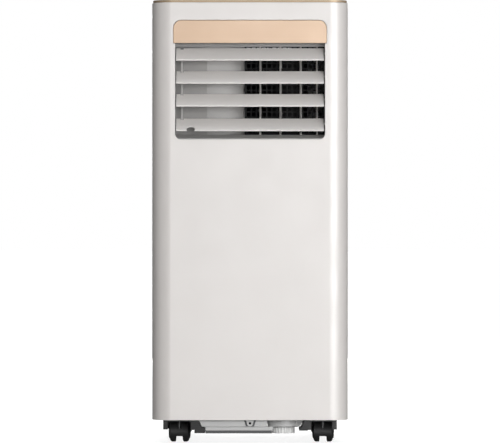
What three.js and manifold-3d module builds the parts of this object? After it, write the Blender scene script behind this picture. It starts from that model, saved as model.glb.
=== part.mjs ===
// Portable air conditioner on four twin-wheel casters.
// Millimetres. +Z is up, the front with the air outlet faces -Y, +X is to the right of someone facing it.
// The origin is on the floor, under the middle of the casing.
import * as THREE from 'three';
import { mergeVertices } from 'three/addons/utils/BufferGeometryUtils.js';
import Module from 'manifold-3d';

const wasm = await Module();
wasm.setup();

// ---------------------------------------------------------------- driving dimensions
const WIDTH = 303;
const DEPTH = 320;
const HEIGHT = 684;
const HALF_W = WIDTH / 2;
const HALF_D = DEPTH / 2;
const CORNER = 30;
const WALL = 3;
const GAP = 0.4;
const SHELL_BOTTOM = 35.5;
const SHELL_TOP = 680;
const SEAM_Y = -20;
const FRONT_Y = -HALF_D;
const REAR_Y = HALF_D;
const CORNER_STEPS = 5;
const ROUND_STEPS = 20;
const SMALL_STEPS = 8;

// air outlet in the front
const OUTLET = {
  halfWidth: 117, bottom: 470.5, top: 616.9, bandTop: 652.4, bandHalfWidth: 118.3,
  lowRadius: 8.5, highRadius: 12.5, wall: 1.3, recess: 0.8,
};
const DUCT_BACK_Y = -86;
const SILL = { startY: -134, endY: -122, height: 476.5 };
const CEILING_LIP = { frontY: -125, backY: -120, drop: 4 };
const LEFT_PANEL = { y: -112, edgeX: -66, thickness: 2, curveSteps: 7 };
const SCROLL_EDGE_X = -9;
const SCROLL_EDGE_Y = -90;
const GUARD = { minY: -90, maxY: -87.5, columns: 5, rows: 6, bar: 2.4, border: 4 };

// horizontal louvres
const LOUVRE = {
  heights: [601.6, 566, 530.6, 492.7], pivotY: -142.2, halfLength: 114, lowReach: 19.3, highReach: 14.9,
  bow: 2.4, thickness: 1.6, openAngle: THREE.MathUtils.degToRad(55), pinRadius: 1.5,
  crankY: 6, crankZ: 12, crankX: -100, notchFrom: 8.5, linkX: -105.2,
};

// vertical vanes behind the louvres
const VANE = {
  places: [16, 47.3, 78.8, 104.2], pivotY: -107, frontReach: 10, rearReach: 9, halfThickness: 0.9,
  bottom: 478.5, top: 614.5, crankY: 13.5, crankTop: 485.6, linkBottom: 486.0, linkTop: 489.0,
};

// casters: a hood over twin wheels that trail behind the swivel stem
const CASTER = {
  x: { left: 109.8, right: 113 }, y: 124, trail: 11, restTurn: THREE.MathUtils.degToRad(-3),
  wheelRadius: 15.9, inner: 5.9, tread: 14.6, outer: 16.6, axleRadius: 2, stemRadius: 3.2, webBottom: 9.3,
};
const HOOD = {
  halfWidth: 13.7, innerRadius: 16.5, outerRadius: 17.4, notchHalf: 5.7,
  rearAngle: THREE.MathUtils.degToRad(55), frontAngle: THREE.MathUtils.degToRad(227),
};
const BRACKET = {
  plateBottom: 33.6, plateTop: 35.2, outerX: 134, outerWidth: 7, halfDepth: 33, outerFootZ: 21.1,
  stepX: 24, stepZ: 20.3, reachX: 18.5, wallThickness: 3, wallBottom: 19,
};
const INNER_FOOT = {
  left: { lipX: 69.5, lipTop: 23.5, bottom: 15.4, shoulderX: 74.5, topX: 80 },
  right: { lipX: 75.9, lipTop: 22.6, bottom: 19.3, shoulderX: 79, topX: 83.4 },
};

// base pan
const PAN_FLOOR = { bottom: 36.6, top: 39 };
const PAN_RIM = { inset: WALL + 0.6, wall: 2, top: 62 };
const BEAM = {
  leftX: -79.4, rightX: 35.6, frontY: -146, stepY: -143, backY: -120, lipZ: 25, stepZ: 24, bottom: 18.9,
};
const KEEL = { minX: -69, maxX: 34, minY: -138, maxY: -122, bottom: 14 };
const REAR_BEAM = { minX: -64, maxX: 70, minY: 96, maxY: 142, bottom: 22 };
const SCREW_TAB = {
  halfX: 7, bottom: 21.5, round: 6.5, frontY: -149.5, backY: -145.5,
  holeRadius: 2.1, holeZ: 29.8, holeEndY: -146.6,
};
const SUMP = { x: 52, y: -112, radius: 25.4, bottom: 23.3, bore: 9 };
const SUMP_WEB = { minX: 60, lowX: 78.4, highX: 82.6, frontY: -128, backY: -122, bottom: 25, bendZ: 35 };
const DRAIN = { radius: 17.6, bottom: 13.4, round: 2, neckRadius: 8.4, neckLength: 9 };

// top controls
const PANEL = { halfX: 95, minY: -120, maxY: -60, top: 683.5, bottom: 681.3, wellFloor: 670 };
const BUTTON = { radius: 7.6, hole: 8, top: 683.9, y: -90, capHeight: 3, stemRadius: 2.5 };
const DISPLAY = { halfX: 27.6, minY: -103.6, maxY: -76.4 };
const BUTTON_PLACES = {
  button_power: 82, button_mode: 62, button_fan: 42, button_timer: -42, button_up: -62, button_down: -82,
};
const TOP_COVER = {
  halfX: HALF_W - 1.5, halfY: HALF_D - 1.5, radius: CORNER - 1.5, bottom: 680.3,
  skirtDepth: 8, skirtWall: 2, wellWall: 2,
};

// rear
const GRILLE_CORNER = 8;
const GRILLE = { border: 9, slat: 5, recess: 0.2, columns: 2 };
const UPPER_GRILLE = { halfX: 110, bottom: 430, top: 646, slots: 11 };
const LOWER_GRILLE = { halfX: 95, bottom: 92, top: 200, slots: 5 };
const HOSE = { z: 290, inner: 66, tube: 69, flange: 78, frontY: 105 };
const FINGER_GUARD = { y: 139, thickness: 3, barHalf: 2, hubRadius: 12 };
const GLAND = { x: -100, z: 77, radius: 10, bore: 3.6 };
const GRIP = { y: 50, halfY: 50, bottom: 570, top: 612, depth: 27, wall: 2 };

// inside
const DECK = { bottom: 372, top: 375, rimTop: 386 };
const BLOWER = { x: 25, y: 10, radius: 68, housing: 92, wall: 2, floor: 470.5, top: 618, inlet: 48 };
const SHAFT_RADIUS = 4;
const SHAFT_BORE = 4.4;
const PIPE_RADIUS = 4.5;
const PIPE_RISER = [-100, 70];
const EVAPORATOR = [-110, 110, 116, 142, 395, 640];
const CONDENSER = [-100, 100, 112, 144, 68, 206];
const CONDENSER_FAN = {
  y: 121, bladeCount: 5, hubRadius: 17, hubHalf: 9, reach: 61, bladeRoot: 14, chord: 24,
  bladeThickness: 2.2, pitch: 0.5,
};
const CONDENSER_MOTOR_Y = 64;
const COMPRESSOR_PROFILE = [[0, 0], [46, 0], [56, 10], [58, 22], [58, 138], [54, 156], [38, 170], [0, 174]];
const COMPRESSOR_PLACE = [-50, -40, PAN_FLOOR.top + 12];
const CONTROL_BOX = [40, 120, -140, -90, 120, 230];

// ---------------------------------------------------------------- finishes
const FINISHES = {
  white: { color: 0xe6e2df, roughness: 0.42, metalness: 0 },
  gold: { color: 0xe5c7ac, roughness: 0.38, metalness: 0.35 },
  paleGrey: { color: 0xc4c4c2, roughness: 0.5, metalness: 0 },
  louvreGrey: { color: 0xd9d8d6, roughness: 0.45, metalness: 0 },
  black: { color: 0x1b1b1c, roughness: 0.55, metalness: 0 },
  glossBlack: { color: 0x0c0c0e, roughness: 0.12, metalness: 0 },
  smoked: { color: 0x15171a, roughness: 0.06, metalness: 0 },
  rubber: { color: 0x222224, roughness: 0.8, metalness: 0 },
  steel: { color: 0x9a9c9e, roughness: 0.35, metalness: 1 },
  aluminium: { color: 0xc9cbcc, roughness: 0.4, metalness: 1 },
  copper: { color: 0xb5693f, roughness: 0.35, metalness: 1 },
  foamGrey: { color: 0x8f9192, roughness: 0.9, metalness: 0 },
};

// ---------------------------------------------------------------- shape helpers
const AROUND_X = new THREE.Matrix4().makeBasis(
  new THREE.Vector3(0, 1, 0), new THREE.Vector3(0, 0, 1), new THREE.Vector3(1, 0, 0));

function solid(geometry) {
  const bare = geometry.clone();
  bare.deleteAttribute('normal');
  bare.deleteAttribute('uv');
  const merged = mergeVertices(bare, 1e-4);
  const index = merged.index.array;
  const kept = [];
  for (let i = 0; i < index.length; i += 3) {
    const [a, b, c] = [index[i], index[i + 1], index[i + 2]];
    if (a !== b && b !== c && c !== a) kept.push(a, b, c);
  }
  return new wasm.Manifold(new wasm.Mesh({
    numProp: 3,
    vertProperties: new Float32Array(merged.attributes.position.array),
    triVerts: new Uint32Array(kept),
  }));
}

function geometryOf(manifold) {
  const { vertProperties, triVerts } = manifold.getMesh();
  const geometry = new THREE.BufferGeometry();
  geometry.setAttribute('position', new THREE.BufferAttribute(new Float32Array(vertProperties), 3));
  geometry.setIndex(new THREE.BufferAttribute(new Uint32Array(triVerts), 1));
  geometry.computeVertexNormals();
  return geometry;
}

function join(...shapes) {
  return geometryOf(shapes.map(solid).reduce((whole, next) => whole.add(next)));
}

function cut(base, ...tools) {
  return geometryOf(tools.map(solid).reduce((left, tool) => left.subtract(tool), solid(base)));
}

function overlap(first, second) {
  return geometryOf(solid(first).intersect(solid(second)));
}

function block(minX, maxX, minY, maxY, minZ, maxZ) {
  const geometry = new THREE.BoxGeometry(maxX - minX, maxY - minY, maxZ - minZ);
  return geometry.translate((minX + maxX) / 2, (minY + maxY) / 2, (minZ + maxZ) / 2);
}

function roundedOutline(minU, maxU, minV, maxV, lowRadius, highRadius = lowRadius) {
  const quarter = Math.PI / 2;
  const shape = new THREE.Shape();
  shape.absarc(maxU - lowRadius, minV + lowRadius, lowRadius, -quarter, 0, false);
  shape.absarc(maxU - highRadius, maxV - highRadius, highRadius, 0, quarter, false);
  shape.absarc(minU + highRadius, maxV - highRadius, highRadius, quarter, 2 * quarter, false);
  shape.absarc(minU + lowRadius, minV + lowRadius, lowRadius, 2 * quarter, 3 * quarter, false);
  return shape;
}

function extruded(shape, depth, curveSegments) {
  return new THREE.ExtrudeGeometry(shape, { depth, curveSegments, bevelEnabled: false });
}

// an outline in X and Y, raised along Z
function raised(shape, minZ, maxZ, steps = CORNER_STEPS) {
  return extruded(shape, maxZ - minZ, steps).translate(0, 0, minZ);
}

// an outline in X and Z, drawn through along Y
function throughY(shape, minY, maxY, steps = CORNER_STEPS) {
  return extruded(shape, maxY - minY, steps).rotateX(Math.PI / 2).translate(0, maxY, 0);
}

// an outline in Y and Z, drawn through along X
function throughX(shape, minX, maxX, steps = CORNER_STEPS) {
  return extruded(shape, maxX - minX, steps).applyMatrix4(AROUND_X).translate(minX, 0, 0);
}

function rodZ(radius, x, y, minZ, maxZ, steps = ROUND_STEPS) {
  const geometry = new THREE.CylinderGeometry(radius, radius, maxZ - minZ, steps);
  return geometry.rotateX(Math.PI / 2).translate(x, y, (minZ + maxZ) / 2);
}

function rodY(radius, x, z, minY, maxY, steps = ROUND_STEPS) {
  const geometry = new THREE.CylinderGeometry(radius, radius, maxY - minY, steps);
  return geometry.translate(x, (minY + maxY) / 2, z);
}

function rodX(radius, y, z, minX, maxX, steps = SMALL_STEPS) {
  const geometry = new THREE.CylinderGeometry(radius, radius, maxX - minX, steps);
  return geometry.rotateZ(Math.PI / 2).translate((minX + maxX) / 2, y, z);
}

// a profile of [radius, height] pairs, heights rising on the outside, turned about Z
function turnedZ(profile, steps = ROUND_STEPS) {
  return turnedY(profile, steps).rotateX(Math.PI / 2);
}

// the same about Y, heights along +Y
function turnedY(profile, steps = ROUND_STEPS) {
  const points = profile.map(([radius, height]) => new THREE.Vector2(radius, height));
  return new THREE.LatheGeometry(points, steps);
}

// the same about X, heights along +X
function turnedX(profile, steps = ROUND_STEPS) {
  return turnedY(profile, steps).rotateZ(-Math.PI / 2);
}

const unit = new THREE.Group();
unit.name = 'portable_air_conditioner';

function addPart(name, geometry, finish, parent = unit) {
  const mesh = new THREE.Mesh(geometry, new THREE.MeshStandardMaterial(FINISHES[finish]));
  mesh.name = name;
  parent.add(mesh);
  return mesh;
}

// ---------------------------------------------------------------- casing
function casingOutline(inset) {
  return roundedOutline(-HALF_W + inset, HALF_W - inset, -HALF_D + inset, HALF_D - inset, CORNER - inset);
}

function casingTube() {
  const outline = casingOutline(0);
  outline.holes.push(casingOutline(WALL));
  return raised(outline, SHELL_BOTTOM, SHELL_TOP);
}

function frontShell() {
  const frontHalf = block(-HALF_W - 1, HALF_W + 1, -HALF_D - 1, SEAM_Y, 0, HEIGHT);
  const halfWidth = OUTLET.bandHalfWidth + GAP;
  const windowShape = roundedOutline(-halfWidth, halfWidth, OUTLET.bottom - OUTLET.wall - GAP,
    OUTLET.bandTop + GAP, OUTLET.lowRadius, OUTLET.highRadius);
  return cut(overlap(casingTube(), frontHalf), throughY(windowShape, FRONT_Y - 1, FRONT_Y + WALL + 1));
}

function rearShell() {
  const rearHalf = block(-HALF_W - 1, HALF_W + 1, SEAM_Y + GAP, HALF_D + 1, 0, HEIGHT);
  const wallCut = [REAR_Y - WALL - 1, REAR_Y + 1];
  const grip = [GRIP.y - GRIP.halfY - GAP, GRIP.y + GRIP.halfY + GAP];
  return cut(
    overlap(casingTube(), rearHalf),
    throughY(roundedOutline(-UPPER_GRILLE.halfX - GAP, UPPER_GRILLE.halfX + GAP,
      UPPER_GRILLE.bottom - GAP, UPPER_GRILLE.top + GAP, GRILLE_CORNER), ...wallCut, 3),
    throughY(roundedOutline(-LOWER_GRILLE.halfX - GAP, LOWER_GRILLE.halfX + GAP,
      LOWER_GRILLE.bottom - GAP, LOWER_GRILLE.top + GAP, GRILLE_CORNER), ...wallCut, 3),
    rodY(HOSE.flange + GAP, 0, HOSE.z, ...wallCut, 28),
    rodY(GLAND.radius + GAP, GLAND.x, GLAND.z, ...wallCut, 12),
    block(-HALF_W - 1, HALF_W + 1, ...grip, GRIP.bottom - GAP, GRIP.top + GAP),
  );
}

function topCover() {
  const { halfX, halfY, radius, bottom, skirtDepth, skirtWall, wellWall } = TOP_COVER;
  const plate = raised(roundedOutline(-halfX, halfX, -halfY, halfY, radius), bottom, HEIGHT);
  const skirtOutline = casingOutline(WALL + GAP);
  skirtOutline.holes.push(casingOutline(WALL + GAP + skirtWall));
  const skirt = raised(skirtOutline, bottom - skirtDepth, bottom + 1, 3);
  const well = block(-PANEL.halfX - wellWall, PANEL.halfX + wellWall, PANEL.minY - wellWall,
    PANEL.maxY + wellWall, PANEL.wellFloor - wellWall, bottom + 1);
  const hollow = block(-PANEL.halfX, PANEL.halfX, PANEL.minY, PANEL.maxY, PANEL.wellFloor, HEIGHT + 1);
  return cut(join(plate, skirt, well), hollow);
}

function controlPanel() {
  const panel = block(-PANEL.halfX + GAP, PANEL.halfX - GAP, PANEL.minY + GAP, PANEL.maxY - GAP,
    PANEL.bottom, PANEL.top);
  const holes = Object.values(BUTTON_PLACES).map((x) => rodZ(BUTTON.hole, x, BUTTON.y, 0, HEIGHT, 16));
  const { halfX, minY, maxY } = DISPLAY;
  return cut(panel, ...holes, block(-halfX - GAP, halfX + GAP, minY - GAP, maxY + GAP, 0, HEIGHT));
}

function displayWindow() {
  return block(-DISPLAY.halfX, DISPLAY.halfX, DISPLAY.minY, DISPLAY.maxY, PANEL.bottom, PANEL.top);
}

function button() {
  const { radius, top, capHeight, stemRadius } = BUTTON;
  return join(rodZ(radius, 0, 0, top - capHeight, top, 16),
    rodZ(stemRadius, 0, 0, PANEL.wellFloor + 2, top - 1, SMALL_STEPS));
}

function buildCasing() {
  addPart('front_shell', frontShell(), 'white');
  addPart('rear_shell', rearShell(), 'white');
  addPart('top_cover', topCover(), 'gold');
  addPart('control_panel', controlPanel(), 'glossBlack');
  addPart('display_window', displayWindow(), 'smoked');
  for (const [name, x] of Object.entries(BUTTON_PLACES)) {
    addPart(name, button(), 'glossBlack').position.set(x, BUTTON.y, 0);
  }
}

// ---------------------------------------------------------------- air outlet
function outletOutline(inset) {
  const halfWidth = OUTLET.bandHalfWidth - inset;
  return roundedOutline(-halfWidth, halfWidth, OUTLET.bottom - OUTLET.wall + inset,
    OUTLET.top + OUTLET.wall - inset, OUTLET.lowRadius, 2);
}

function outletBand() {
  const { bandHalfWidth, top, bandTop, highRadius, recess } = OUTLET;
  const face = throughY(roundedOutline(-bandHalfWidth, bandHalfWidth, top + 0.3, bandTop, 0.5, highRadius),
    FRONT_Y + recess - 0.3, FRONT_Y + 3.2);
  const clip = (x) => block(x - 6, x + 6, FRONT_Y + 3, FRONT_Y + 9, top + 12, top + 15);
  return join(face, clip(-80), clip(0), clip(80));
}

// the flat wall on the left, which bends back into the curved wall beside the guard
function leftPanel() {
  const { y, edgeX, thickness, curveSteps } = LEFT_PANEL;
  const radiusX = SCROLL_EDGE_X - edgeX;
  const radiusY = SCROLL_EDGE_Y - y - thickness;
  const curve = new THREE.EllipseCurve(edgeX, SCROLL_EDGE_Y, radiusX, radiusY, -Math.PI / 2, 0);
  const front = curve.getPoints(curveSteps);
  const back = curve.getPoints(curveSteps).reverse();
  const shape = new THREE.Shape([
    new THREE.Vector2(-OUTLET.halfWidth - 1, y),
    new THREE.Vector2(edgeX - 0.5, y),
    ...front,
    ...back.map((point) => new THREE.Vector2(point.x - thickness, point.y + thickness)),
    new THREE.Vector2(-OUTLET.halfWidth - 1, y + 2 * thickness),
  ]);
  return raised(shape, OUTLET.bottom, OUTLET.top + 0.5);
}

function outletDuct() {
  const { halfWidth, bottom, top, wall, recess } = OUTLET;
  const outer = outletOutline(0);
  outer.holes.push(outletOutline(wall));
  const tube = throughY(outer, FRONT_Y + recess, DUCT_BACK_Y);
  const sill = throughX(new THREE.Shape([
    new THREE.Vector2(SILL.startY, bottom - 0.5), new THREE.Vector2(DUCT_BACK_Y, bottom - 0.5),
    new THREE.Vector2(DUCT_BACK_Y, SILL.height), new THREE.Vector2(SILL.endY, SILL.height),
  ]), -halfWidth - 0.5, halfWidth + 0.5);
  const lip = block(-halfWidth - 0.5, halfWidth + 0.5, CEILING_LIP.frontY, CEILING_LIP.backY,
    top - CEILING_LIP.drop, top + 0.5);
  const bandSeat = block(-WIDTH, WIDTH, FRONT_Y - 1, FRONT_Y + 3.6, top - 0.1, top + 10);
  const bore = LOUVRE.pinRadius + GAP;
  const louvreHoles = LOUVRE.heights.map((z) => rodX(bore, LOUVRE.pivotY, z, -HALF_W, HALF_W));
  const vaneHoles = VANE.places.map((x) => rodZ(bore, x, VANE.pivotY, 0, HEIGHT, SMALL_STEPS));
  return cut(join(tube, leftPanel(), sill, lip), bandSeat, ...louvreHoles, ...vaneHoles);
}

function fanGuard() {
  const { minY, maxY, columns, rows, bar, border } = GUARD;
  const left = SCROLL_EDGE_X + border;
  const right = OUTLET.halfWidth - border;
  const low = SILL.height + border;
  const high = OUTLET.top - border;
  const stepX = (right - left + bar) / columns;
  const stepZ = (high - low + bar) / rows;
  const windows = [];
  for (let column = 0; column < columns; column += 1) {
    for (let row = 0; row < rows; row += 1) {
      const x = left + column * stepX;
      const z = low + row * stepZ;
      windows.push(block(x, x + stepX - bar, minY - 1, maxY + 1, z, z + stepZ - bar));
    }
  }
  const plate = block(SCROLL_EDGE_X + 0.6, OUTLET.halfWidth - 0.6, minY, maxY,
    SILL.height + 0.5, OUTLET.top - 0.6);
  return cut(plate, ...windows);
}

// drawn closed, with its chord upright and its pivot at the origin
function louvreBlade(thumbRecess) {
  const { lowReach, highReach, bow, thickness, halfLength, pinRadius } = LOUVRE;
  const { crankY, crankZ, crankX } = LOUVRE;
  const section = new THREE.Shape();
  section.moveTo(0, -lowReach);
  section.lineTo(thickness, -lowReach + 1.5);
  section.quadraticCurveTo(thickness - bow, 0, thickness / 2, highReach);
  section.lineTo(-thickness / 2, highReach);
  section.quadraticCurveTo(-thickness - bow, 0, -thickness / 2, -lowReach);
  const blade = throughX(section, -halfLength, halfLength, 5);
  const pivotPin = rodX(pinRadius, 0, 0, -halfLength - 4, halfLength + 4, SMALL_STEPS);
  const armHalf = 2.5;
  const arm = throughX(new THREE.Shape([
    new THREE.Vector2(-0.5, 0),
    new THREE.Vector2(3, 0),
    new THREE.Vector2(crankY + armHalf, crankZ - 3),
    new THREE.Vector2(crankY + armHalf, crankZ + armHalf),
    new THREE.Vector2(crankY - armHalf, crankZ + armHalf),
    new THREE.Vector2(-0.5, crankZ - 3),
  ]), crankX - 1.8, crankX);
  const crankPin = rodX(pinRadius, crankY, crankZ, LOUVRE.linkX - 2.4, crankX - 0.5, SMALL_STEPS);
  const notch = block(-110, crankX - 1.3, -10, 3, LOUVRE.notchFrom, highReach + 2);
  const body = join(cut(blade, notch), arm, pivotPin, crankPin);
  if (!thumbRecess) return body;
  return cut(body, rodY(7, -92, -lowReach - 1, -10, 10, 16));
}

function louvreLink() {
  const { heights, linkX, pinRadius } = LOUVRE;
  const places = heights.map((z) => z - heights[0]);
  const end = 3.4;
  const bar = block(linkX - 1.5, linkX + 1.5, -3, 3, places[places.length - 1] - end, end);
  return cut(bar, ...places.map((z) => rodX(pinRadius + 0.4, 0, z, linkX - 5, linkX + 5)));
}

// drawn about its own pivot
function vane() {
  const { frontReach, rearReach, halfThickness, bottom, top, crankY, crankTop, linkTop } = VANE;
  const section = new THREE.Shape();
  section.moveTo(0, -frontReach);
  section.quadraticCurveTo(halfThickness * 2.2, 0, 0.4, rearReach);
  section.lineTo(-0.4, rearReach);
  section.quadraticCurveTo(-halfThickness * 2.2, 0, 0, -frontReach);
  const blade = raised(section, bottom, top, 4);
  const pivotPin = rodZ(LOUVRE.pinRadius, 0, 0, OUTLET.bottom + 0.6, OUTLET.top + 0.8, SMALL_STEPS);
  const arm = raised(roundedOutline(-2, 2, 3, crankY + 2, 1.5), crankTop - 2.6, crankTop, 2);
  const crankPin = rodZ(LOUVRE.pinRadius, 0, crankY, crankTop - 1, linkTop + 0.5, SMALL_STEPS);
  return join(blade, pivotPin, arm, crankPin);
}

function vaneLink() {
  const { places, linkBottom, linkTop } = VANE;
  const start = places[0];
  const reach = places[places.length - 1] - start;
  const bar = block(-4, reach + 4, -2.5, 2.4, linkBottom, linkTop);
  const holes = places.map((x) => rodZ(LOUVRE.pinRadius + 0.4, x - start, 0, 400, 600, SMALL_STEPS));
  return cut(bar, ...holes);
}

// where a louvre's crank pin stands when the louvre rests open
function crankPlace() {
  const { crankY, crankZ, openAngle, pivotY, heights } = LOUVRE;
  return new THREE.Vector3(0, crankY, crankZ)
    .applyAxisAngle(new THREE.Vector3(1, 0, 0), -openAngle)
    .add(new THREE.Vector3(0, pivotY, heights[0]));
}

function buildOutlet() {
  addPart('outlet_band', outletBand(), 'gold');
  addPart('outlet_duct', outletDuct(), 'paleGrey');
  addPart('fan_guard', fanGuard(), 'black');
  LOUVRE.heights.forEach((z, row) => {
    const isLowest = row === LOUVRE.heights.length - 1;
    const blade = addPart(`louvre_${row + 1}`, louvreBlade(isLowest), 'louvreGrey');
    blade.position.set(0, LOUVRE.pivotY, z);
    blade.rotation.x = -LOUVRE.openAngle;
  });
  addPart('louvre_link', louvreLink(), 'louvreGrey').position.copy(crankPlace());
  VANE.places.forEach((x, column) => {
    addPart(`vane_${column + 1}`, vane(), 'louvreGrey').position.set(x, VANE.pivotY, 0);
  });
  const linkPlace = [VANE.places[0], VANE.pivotY + VANE.crankY, 0];
  addPart('vane_link', vaneLink(), 'louvreGrey').position.set(...linkPlace);
}

// ---------------------------------------------------------------- base
function basePan() {
  const under = PAN_FLOOR.bottom + 1;
  const floor = raised(casingOutline(PAN_RIM.inset), PAN_FLOOR.bottom, PAN_FLOOR.top, 4);
  const rimOutline = casingOutline(PAN_RIM.inset);
  rimOutline.holes.push(casingOutline(PAN_RIM.inset + PAN_RIM.wall));
  const rim = raised(rimOutline, PAN_FLOOR.bottom, PAN_RIM.top, 4);
  const frontBeam = throughX(new THREE.Shape([
    new THREE.Vector2(BEAM.frontY, under), new THREE.Vector2(BEAM.frontY, BEAM.lipZ),
    new THREE.Vector2(BEAM.stepY, BEAM.stepZ), new THREE.Vector2(BEAM.stepY, BEAM.bottom),
    new THREE.Vector2(BEAM.backY, BEAM.bottom), new THREE.Vector2(BEAM.backY, under),
  ]), BEAM.leftX, BEAM.rightX);
  const keel = block(KEEL.minX, KEEL.maxX, KEEL.minY, KEEL.maxY, KEEL.bottom, under);
  const rearBeam = block(REAR_BEAM.minX, REAR_BEAM.maxX, REAR_BEAM.minY, REAR_BEAM.maxY,
    REAR_BEAM.bottom, under);
  const sump = rodZ(SUMP.radius, SUMP.x, SUMP.y, SUMP.bottom, under);
  const sumpWeb = throughY(new THREE.Shape([
    new THREE.Vector2(SUMP_WEB.minX, SUMP_WEB.bottom), new THREE.Vector2(SUMP_WEB.lowX, SUMP_WEB.bottom),
    new THREE.Vector2(SUMP_WEB.highX, SUMP_WEB.bendZ), new THREE.Vector2(SUMP_WEB.highX, under),
    new THREE.Vector2(SUMP_WEB.minX, under),
  ]), SUMP_WEB.frontY, SUMP_WEB.backY);
  const tabOutline = roundedOutline(-SCREW_TAB.halfX, SCREW_TAB.halfX, SCREW_TAB.bottom, under,
    SCREW_TAB.round, 1);
  const tab = throughY(tabOutline, SCREW_TAB.frontY, SCREW_TAB.backY);
  const bracketRoom = throughY(new THREE.Shape([
    new THREE.Vector2(-100, 0), new THREE.Vector2(0.5 - INNER_FOOT.left.lipX, 0),
    new THREE.Vector2(0.5 - INNER_FOOT.left.lipX, INNER_FOOT.left.lipTop + GAP),
    new THREE.Vector2(0.5 - INNER_FOOT.left.shoulderX, INNER_FOOT.left.lipTop + 2 * GAP),
    new THREE.Vector2(0.5 - INNER_FOOT.left.topX, BRACKET.plateTop + GAP),
    new THREE.Vector2(-100, BRACKET.plateTop + GAP),
  ]), FRONT_Y, BEAM.backY + 1);
  const sumpBore = rodZ(SUMP.bore, SUMP.x, SUMP.y, 0, PAN_RIM.top, 16);
  const { holeRadius, holeZ, holeEndY } = SCREW_TAB;
  const screwHole = rodY(holeRadius, 0, holeZ, FRONT_Y, holeEndY, SMALL_STEPS);
  const stemHoles = casterPlaces().map(({ x, y }) =>
    rodZ(CASTER.stemRadius + 1.4, x, y, 0, PAN_RIM.top, SMALL_STEPS));
  const body = join(floor, rim, frontBeam, keel, rearBeam, sump, sumpWeb, tab);
  return cut(body, bracketRoom, sumpBore, screwHole, ...stemHoles);
}

function drainCap() {
  const { radius, bottom, round, neckRadius, neckLength } = DRAIN;
  const top = SUMP.bottom - GAP;
  return turnedZ([[0, bottom], [radius - round, bottom], [radius, bottom + round], [radius, top],
    [neckRadius, top], [neckRadius, top + neckLength], [0, top + neckLength]]).translate(SUMP.x, SUMP.y, 0);
}

function casterPlaces() {
  const places = [];
  for (const [end, sideY] of [['front', -1], ['rear', 1]]) {
    for (const [side, sideX] of [['left', -1], ['right', 1]]) {
      const x = sideX * CASTER.x[side];
      const y = sideY * CASTER.y;
      places.push({ name: `${end}_${side}`, side, sideX, sideY, x, y });
    }
  }
  return places;
}

// drawn for the front right corner, with x measured from the middle of the machine
function casterBracket(side) {
  const { plateBottom, plateTop, outerX, outerWidth, halfDepth, outerFootZ } = BRACKET;
  const { stepX, stepZ, reachX, wallThickness, wallBottom } = BRACKET;
  const { lipX, lipTop, bottom, shoulderX, topX } = INNER_FOOT[side];
  const stemX = CASTER.x[side];
  const plate = block(topX, outerX, -halfDepth, halfDepth, plateBottom, plateTop);
  const outerFoot = block(outerX - outerWidth, outerX, -halfDepth, halfDepth, outerFootZ, plateBottom + 1);
  const wall = block(topX, outerX, halfDepth - 1, halfDepth + wallThickness, wallBottom, plateTop);
  const innerFoot = throughY(new THREE.Shape([
    new THREE.Vector2(lipX, bottom), new THREE.Vector2(stemX - stepX, bottom),
    new THREE.Vector2(stemX - stepX, stepZ), new THREE.Vector2(stemX - reachX, stepZ),
    new THREE.Vector2(stemX - reachX, plateBottom + 1), new THREE.Vector2(topX, plateBottom + 1),
    new THREE.Vector2(topX, plateBottom), new THREE.Vector2(shoulderX, lipTop + GAP),
    new THREE.Vector2(lipX, lipTop),
  ]), -halfDepth, halfDepth);
  const swingRadius = Math.hypot(CASTER.trail + CASTER.wheelRadius, CASTER.outer) + 2 * GAP;
  const swing = rodZ(swingRadius, stemX, 0, 0, plateBottom, 24);
  const stemHole = rodZ(CASTER.stemRadius + 0.4, stemX, 0, 0, 60, 12);
  return cut(join(plate, outerFoot, innerFoot, wall), swing, stemHole);
}

// drawn about the swivel axis, trailing towards +Y
function casterBody() {
  const { trail, inner, stemRadius, axleRadius, outer, wheelRadius, webBottom } = CASTER;
  const { halfWidth, innerRadius, outerRadius, notchHalf, rearAngle, frontAngle } = HOOD;
  const middle = (innerRadius + outerRadius) / 2;
  const ring = new THREE.Shape();
  ring.absarc(trail, wheelRadius, outerRadius, rearAngle, frontAngle, false);
  ring.absarc(trail, wheelRadius, innerRadius, frontAngle, rearAngle, true);
  const hood = cut(throughX(ring, -halfWidth, halfWidth, 12),
    block(-notchHalf, notchHalf, -outer - 10, outer + 10, 0, webBottom));
  const webDrop = Math.asin((wheelRadius - webBottom) / middle);
  const webShape = new THREE.Shape();
  webShape.moveTo(trail - middle * Math.cos(webDrop), webBottom);
  webShape.lineTo(trail + 6, webBottom);
  webShape.absarc(trail, wheelRadius, 7.5, -0.7, 1, false);
  webShape.absarc(trail, wheelRadius, middle, rearAngle, Math.PI + webDrop, false);
  const web = throughX(webShape, GAP - inner, inner - GAP, 10);
  const axle = rodX(axleRadius, trail, wheelRadius, -outer + 3, outer - 3, 12);
  const stem = rodZ(stemRadius, 0, 0, 20, BRACKET.plateTop + 1.6, 14);
  return join(hood, web, axle, stem);
}

// drawn on the +X side of the caster, axis through the origin
function wheel() {
  const { inner, tread, outer, wheelRadius, axleRadius } = CASTER;
  const bore = axleRadius + 0.35;
  const endWall = outer - 2.2;
  return turnedX([
    [0, endWall], [bore, endWall], [bore, inner], [wheelRadius, inner], [wheelRadius, tread - 2],
    [wheelRadius * 0.6, outer - 0.7], [0, outer],
  ]);
}

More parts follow.
